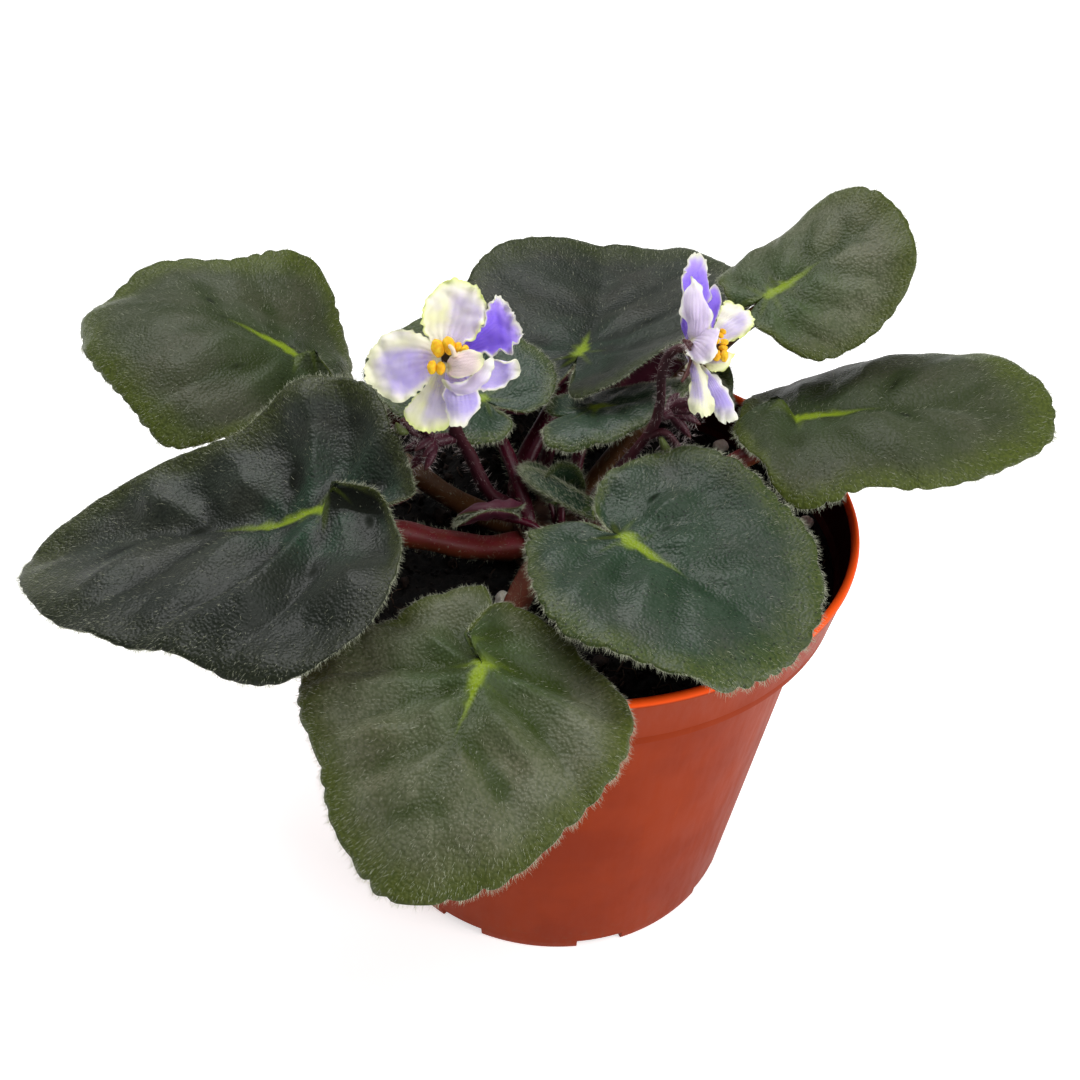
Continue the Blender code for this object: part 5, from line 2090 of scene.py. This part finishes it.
    def bud_cluster(self, palette: Palette, rng: Rng) -> None:
        """Build the cluster of hairy buds beside the stem, each a pointed, bowed lobe.

        Args:
            palette: The materials.
            rng: The source of randomness.
        """
        middle, seat = (np.array(point) for point in self.buds)
        outward = unit(middle - seat)
        level = unit(np.cross(outward, UP))
        upright = np.cross(level, outward)
        foot = seat + outward * 0.6
        skins = [sweep(foot + (middle - outward * 0.4 - foot) * np.linspace(0, 1, 6)[:, None],
                       np.array([1.0, 1.05, 1.1, 1.2, 1.2, 0.8]), 12)]
        coats = [stem_hairs(foot + (middle - foot) * np.linspace(0, 1, 6)[:, None], 1.1, 24.0,
                            BRISTLE, rng)]
        for number in range(BUDS):
            angle = math.tau * number / BUDS + rng.uniform(-0.2, 0.2)
            spread = level * math.cos(angle) + upright * math.sin(angle)
            wide = 0.5 + 0.9 * (number % 3) / 2
            ahead = unit(outward + spread * wide - 0.25 * UP)
            length = rng.uniform(4.4, 6.6)
            run = np.linspace(0, 1, 15)
            bow = rng.uniform(-1.6, 1.6) * level + rng.uniform(-1.2, 0.6) * upright - 1.2 * UP
            route = (middle - outward * 1.4 + spread * 0.4 + ahead * (run * length)[:, None]
                     + bow * (run**2)[:, None])
            radii = 0.82 * np.sin(math.pi * (0.14 + 0.84 * run)) ** 0.8 + 0.05
            skins.append(sweep(route, radii, 12))
            coats.append(stem_hairs(route, 0.7, 14.0, LONG, rng))
        name = f"buds_{self.name}"
        Skin.joined(skins).piece(f"{name}_lobes", palette(StemTone.BUD), "calyx", (name,))
        Skin.joined(coats).piece(f"{name}_hairs", palette(HairTone.STEM), "calyx", smooth=False)

    def sprig_group(self, palette: Palette, rng: Rng) -> None:
        """Build the thin side stems and the small green bracts by the buds.

        Args:
            palette: The materials.
            rng: The source of randomness.
        """
        coats = []
        for number, (green, radius, points) in enumerate(self.sprigs, start=1):
            route = smooth_route(list(points), 8)
            share = np.linspace(0.0, 1.0, len(route))
            taper = np.sin(math.pi * (0.12 + 0.86 * share)) if green else 1.0 - 0.2 * share
            sweep(route, radius * taper, 14).piece(
                f"flower_{self.name}_sprig_{number}",
                palette(StemTone.BRACT if green else StemTone.MAROON), "calyx")
            coats.append(stem_hairs(route, radius * 0.8, 16.0, LONG, rng))
        Skin.joined(coats).piece(f"flower_{self.name}_sprig_hairs", palette(HairTone.STEM),
                                 "calyx", smooth=False)


FLOWERS = (
    Flower("left", (-20.6, -10.0, 117.0), (-96, 28), (
        Petal("top", (-0.2, 1.0, 0.0), ((-4.2, 4.6, 0.8), (-2.8, 10.4, 1.2)),
              ((1.0, 5.8, 0.0), (2.0, 12.2, 0.2)), ((5.0, 3.6, 0.8), (6.4, 9.4, -0.4)),
              Bloom.CREAM, 0.7, 3),
        Petal("upper_right", (0.6, 0.4, -0.6), ((5.0, 5.0, 0.4), (7.6, 10.6, 1.4)),
              ((6.2, 3.6, -1.4), (10.6, 7.2, -1.6)), ((7.2, 0.2, 0.4), (12.6, 1.6, 1.2)),
              Bloom.PURPLE, 0.8, 5),
        Petal("left", (-1.0, -0.6, 0.4), ((-4.6, 3.2, 1.2), (-10.6, 3.2, 0.6)),
              ((-6.2, -1.4, 1.4), (-12.9, -3.0, 0.2)), ((-4.0, -6.0, 1.2), (-9.0, -8.6, 0.6)),
              Bloom.BAND, 0.6, 7),
        Petal("bottom", (-0.4, -1.2, -0.8), ((-4.6, -6.6, -0.8), (-7.4, -9.8, -0.6)),
              ((-2.2, -7.4, -0.2), (-3.4, -12.4, 0.0)), ((0.4, -7.0, -0.6), (1.2, -12.0, -0.6)),
              Bloom.CREAM, 0.6, 9),
        Petal("lower_right", (0.8, -2.2, 1.2), ((-0.2, -6.6, 1.6), (0.4, -10.2, 1.8)),
              ((2.4, -7.0, 3.0), (2.8, -11.6, 2.8)), ((5.2, -5.8, 1.8), (5.0, -9.4, 1.6)),
              Bloom.LILAC, 0.5, 11),
        Petal("right_fold", (2.6, -2.4, 1.4), ((7.2, -0.8, 2.6), (11.4, -1.2, 3.2)),
              ((7.4, -3.2, 1.4), (12.0, -2.6, 1.6)), ((6.2, -5.6, 2.4), (10.0, -4.4, 2.0)),
              Bloom.LILAC, 0.5, 12),
        Petal("collar", (0.0, -4.6, 3.4), ((3.2, -5.0, 4.0), (6.6, -0.6, 4.4)),
              ((3.7, -5.7, 4.4), (7.4, -0.9, 4.8)), ((4.0, -6.4, 3.6), (8.2, -1.6, 4.0)),
              Bloom.BLUSH, 0.35, 14),
        Petal("inner_right", (0.6, -2.4, 4.0), ((2.0, -0.2, 5.2), (5.6, 0.2, 5.6)),
              ((3.0, -2.0, 5.8), (6.3, -1.2, 6.2)), ((2.0, -4.2, 5.0), (5.6, -3.2, 5.2)),
              Bloom.PALE, 0.3, 13),
    ), ("petal_cream", "petal_purple", "petal_lilac", "petal_cream", "petal_lilac",
        "petal_lilac", "petal_lilac", "petal_cream"),
        (Anther(-0.3, 0.7, 4.4, 1.5, 15), Anther(2.5, 0.5, 4.0, 0.95, -20),
         Anther(-1.3, -2.6, 4.2, 1.1, -5)),
        (top_base(170, 5.8), (-13.7, -4.0, 85.6), (-17.2, -5.0, 94.3), (-19.6, -7.0, 100.9),
         (-20.8, -7.6, 107.0)),
        ((-24.2, -9.4, 99.6), (-19.3, -6.6, 99.0)), (0.4, 3.9, -2.1),
        ((0.2, 1.2, 4.0), (1.2, 0.3, 6.4), (1.7, -0.9, 6.0)),
        ((False, 0.55, ((-23.5, -9.2, 99.8), (-26.4, -9.6, 101.6), (-28.2, -9.6, 104.2))),
         (True, 0.85, ((-27.2, -9.8, 101.6), (-28.6, -10.0, 102.4), (-29.2, -10.0, 103.8)))),
        seed=21),
    Flower("right", (20.7, -9.3, 120.0), (-28, 6), (
        Petal("top_inner", (-1.9, -0.3, -0.5), ((-4.3, 6.6, 1.0), (-3.1, 13.2, 0.6)),
              ((-2.1, 7.2, -1.4), (-1.3, 14.9, -1.6)), ((0.4, 6.4, -3.4), (0.5, 13.6, -3.8)),
              Bloom.PURPLE, 0.4, 15),
        Petal("top_outer", (-1.6, -0.8, 1.0), ((-3.4, 4.4, 2.4), (-3.7, 9.9, 2.0)),
              ((-2.4, 4.8, 3.8), (-2.5, 10.6, 3.0)), ((0.4, 2.4, 3.2), (-1.1, 9.9, 2.2)),
              Bloom.BLUSH, 0.6, 17),
        Petal("side_near", (1.0, 1.0, -1.0), ((2.4, 5.4, -3.0), (3.6, 8.2, -4.0)),
              ((4.2, 4.2, -2.0), (7.7, 6.0, -3.0)), ((3.6, 0.9, -1.0), (7.3, 1.9, -1.5)),
              Bloom.CREAM, 0.6, 19),
        Petal("side_far", (-2.4, 0.4, 1.5), ((-2.7, -2.0, 3.2), (-1.2, -3.8, 4.2)),
              ((-0.8, -0.6, 4.4), (0.8, -2.6, 4.8)), ((1.0, 2.6, 4.0), (2.0, 0.8, 4.4)),
              Bloom.BLUSH, 0.7, 21),
        Petal("side_cup", (0.4, 2.4, -1.5), ((0.0, 6.2, -3.0), (0.6, 9.6, -3.6)),
              ((1.2, 6.6, -3.4), (1.9, 10.3, -3.8)), ((2.3, 5.6, -3.2), (2.9, 8.4, -3.6)),
              Bloom.PURPLE, 0.3, 22),
        Petal("cup", (-0.2, -2.1, 0.2), ((1.0, -3.9, 1.2), (3.2, -3.8, 1.4)),
              ((1.6, -2.8, 2.2), (4.4, -2.0, 2.0)), ((1.8, -1.5, 1.2), (4.7, -0.5, 1.0)),
              Bloom.CREAM, 0.25, 24),
        Petal("bottom_far", (-2.9, -1.1, 0.6), ((-2.3, -5.4, 1.6), (-3.0, -10.6, 2.0)),
              ((-1.2, -5.8, 2.2), (-0.5, -11.5, 2.6)), ((-0.1, -5.4, 1.4), (2.4, -10.6, 1.8)),
              Bloom.SPOT, 0.45, 25),
        Petal("bottom_near", (-0.8, -3.2, -0.4), ((0.3, -7.0, -1.2), (2.2, -11.6, -1.6)),
              ((1.9, -6.9, -0.6), (4.4, -12.2, -1.0)), ((3.4, -6.4, -1.6), (6.6, -10.8, -2.2)),
              Bloom.STREAK, 0.45, 23),
    ), ("petal_purple", "petal_cream", "petal_cream", "petal_lilac", "petal_purple",
        "petal_cream", "petal_purple", "petal_lilac"),
        (Anther(2.4, 1.8, 1.5, 0.6, 60), Anther(1.3, 0.7, 2.2, 0.62, -60),
         Anther(2.7, -0.1, 1.8, 0.78, 85), Anther(2.2, -1.9, 2.6, 0.95, 0)),
        (top_base(350, 5.4), (5.6, -5.0, 87.9), (13.0, -6.0, 100.4), (14.6, -6.5, 106.8),
         (14.4, -7.0, 112.9), (15.2, -7.6, 117.0)),
        ((17.6, -4.0, 104.4), (14.4, -6.0, 104.0)), (-3.2, -0.5, -0.6),
        ((0.6, 0.2, 1.0), (1.6, 0.4, 1.8), (2.2, 0.6, 2.0)),
        ((False, 0.75, ((12.6, -6.1, 99.8), (15.6, -6.8, 101.6), (18.2, -6.8, 98.6),
                        (19.0, -6.4, 95.0))),
         (True, 0.85, ((15.0, -7.4, 101.0), (16.4, -7.8, 98.2), (17.2, -7.6, 95.2)))),
        stem_radius=0.95, seed=31),
)


# ---------------------------------------------------------------- stage


@dataclass(frozen=True)
class Stage:
    """The pale floor, the soft studio lights and the camera."""

    target: Point = (-4.6, 0.0, 72.6)
    distance: float = 276.0
    pitch: float = 37.4
    roll: float = 2.0
    lens: float = 50.0
    floor_radius: float = 6.0

    def camera(self) -> None:
        """Set the camera, which looks down at the plant from the front."""
        pitch, roll = math.radians(self.pitch), math.radians(self.roll)
        ahead = Vector((0.0, math.cos(pitch), -math.sin(pitch)))
        upward = Vector((0.0, math.sin(pitch), math.cos(pitch)))
        across = Vector((1.0, 0.0, 0.0))
        right = across * math.cos(roll) + upward * math.sin(roll)
        top = upward * math.cos(roll) - across * math.sin(roll)
        data = bpy.data.cameras.new("camera")
        data.lens, data.sensor_width = self.lens, 36.0
        data.clip_start, data.clip_end = 0.01, 50.0
        camera = bpy.data.objects.new("camera", data)
        place = (Vector(self.target) - ahead * self.distance) * MM
        turn = Matrix((right, top, -ahead)).transposed().to_4x4()
        camera.matrix_world = Matrix.Translation(place) @ turn
        bpy.context.scene.collection.objects.link(camera)
        bpy.context.scene.camera = camera

    def floor(self) -> None:
        """Lay the floor just under the pot."""
        mesh = bpy.data.meshes.new("floor")
        reach = self.floor_radius
        mesh.from_pydata([(-reach, -reach, 0), (reach, -reach, 0), (reach, reach, 0),
                          (-reach, reach, 0)], [], [(0, 1, 2, 3)])
        obj = bpy.data.objects.new("floor", mesh)
        bpy.context.scene.collection.objects.link(obj)
        n = Nodes("floor_white")
        mesh.materials.append(n.finish((0.86, 0.86, 0.86), 0.9, Specular_IOR_Level=0.0,
                                       Emission_Color=(1.0, 1.0, 1.0, 1.0),
                                       Emission_Strength=0.62))

    def light(self, name: str, place: Point, size: float, power: float) -> None:
        """Hang a square soft light that looks at the plant.

        Args:
            name: The light's name.
            place: Where it hangs, in metres.
            size: The length of its side, in metres.
            power: Its power in watts.
        """
        data = bpy.data.lights.new(name, "AREA")
        data.size, data.energy = size, power
        lamp = bpy.data.objects.new(name, data)
        lamp.location = place
        aim = Vector((0.0, 0.0, 0.09)) - Vector(place)
        lamp.rotation_euler = aim.to_track_quat("-Z", "Y").to_euler()
        bpy.context.scene.collection.objects.link(lamp)

    def set(self) -> None:
        """Set the whole stage."""
        self.camera()
        self.floor()
        self.light("top", (-0.32, 0.50, 1.08), 0.8, 11.5)
        self.light("key", (0.45, -0.45, 1.10), 0.7, 5.6)
        self.light("side", (1.1, -0.50, 0.35), 0.5, 8.0)
        world = bpy.data.worlds.new("studio")
        world.use_nodes = True
        back = world.node_tree.nodes["Background"]
        back.inputs["Color"].default_value = (1.0, 1.0, 1.0, 1.0)
        back.inputs["Strength"].default_value = 0.20
        bpy.context.scene.world = world
        bpy.context.scene.view_settings.view_transform = "Standard"


def main() -> None:
    """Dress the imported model, piece by piece."""
    logging.basicConfig(level=logging.INFO, format="%(name)s %(message)s")
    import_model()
    palette = Palette()
    Stage().set()
    pot = Pot()
    pot.build(palette)
    PottingMix().build(palette, pot)
    Crown().build(palette)
    for leaf in LEAVES:
        leaf.build(palette)
    for flower in FLOWERS:
        flower.build(palette)


if __name__ == "__main__":
    main()
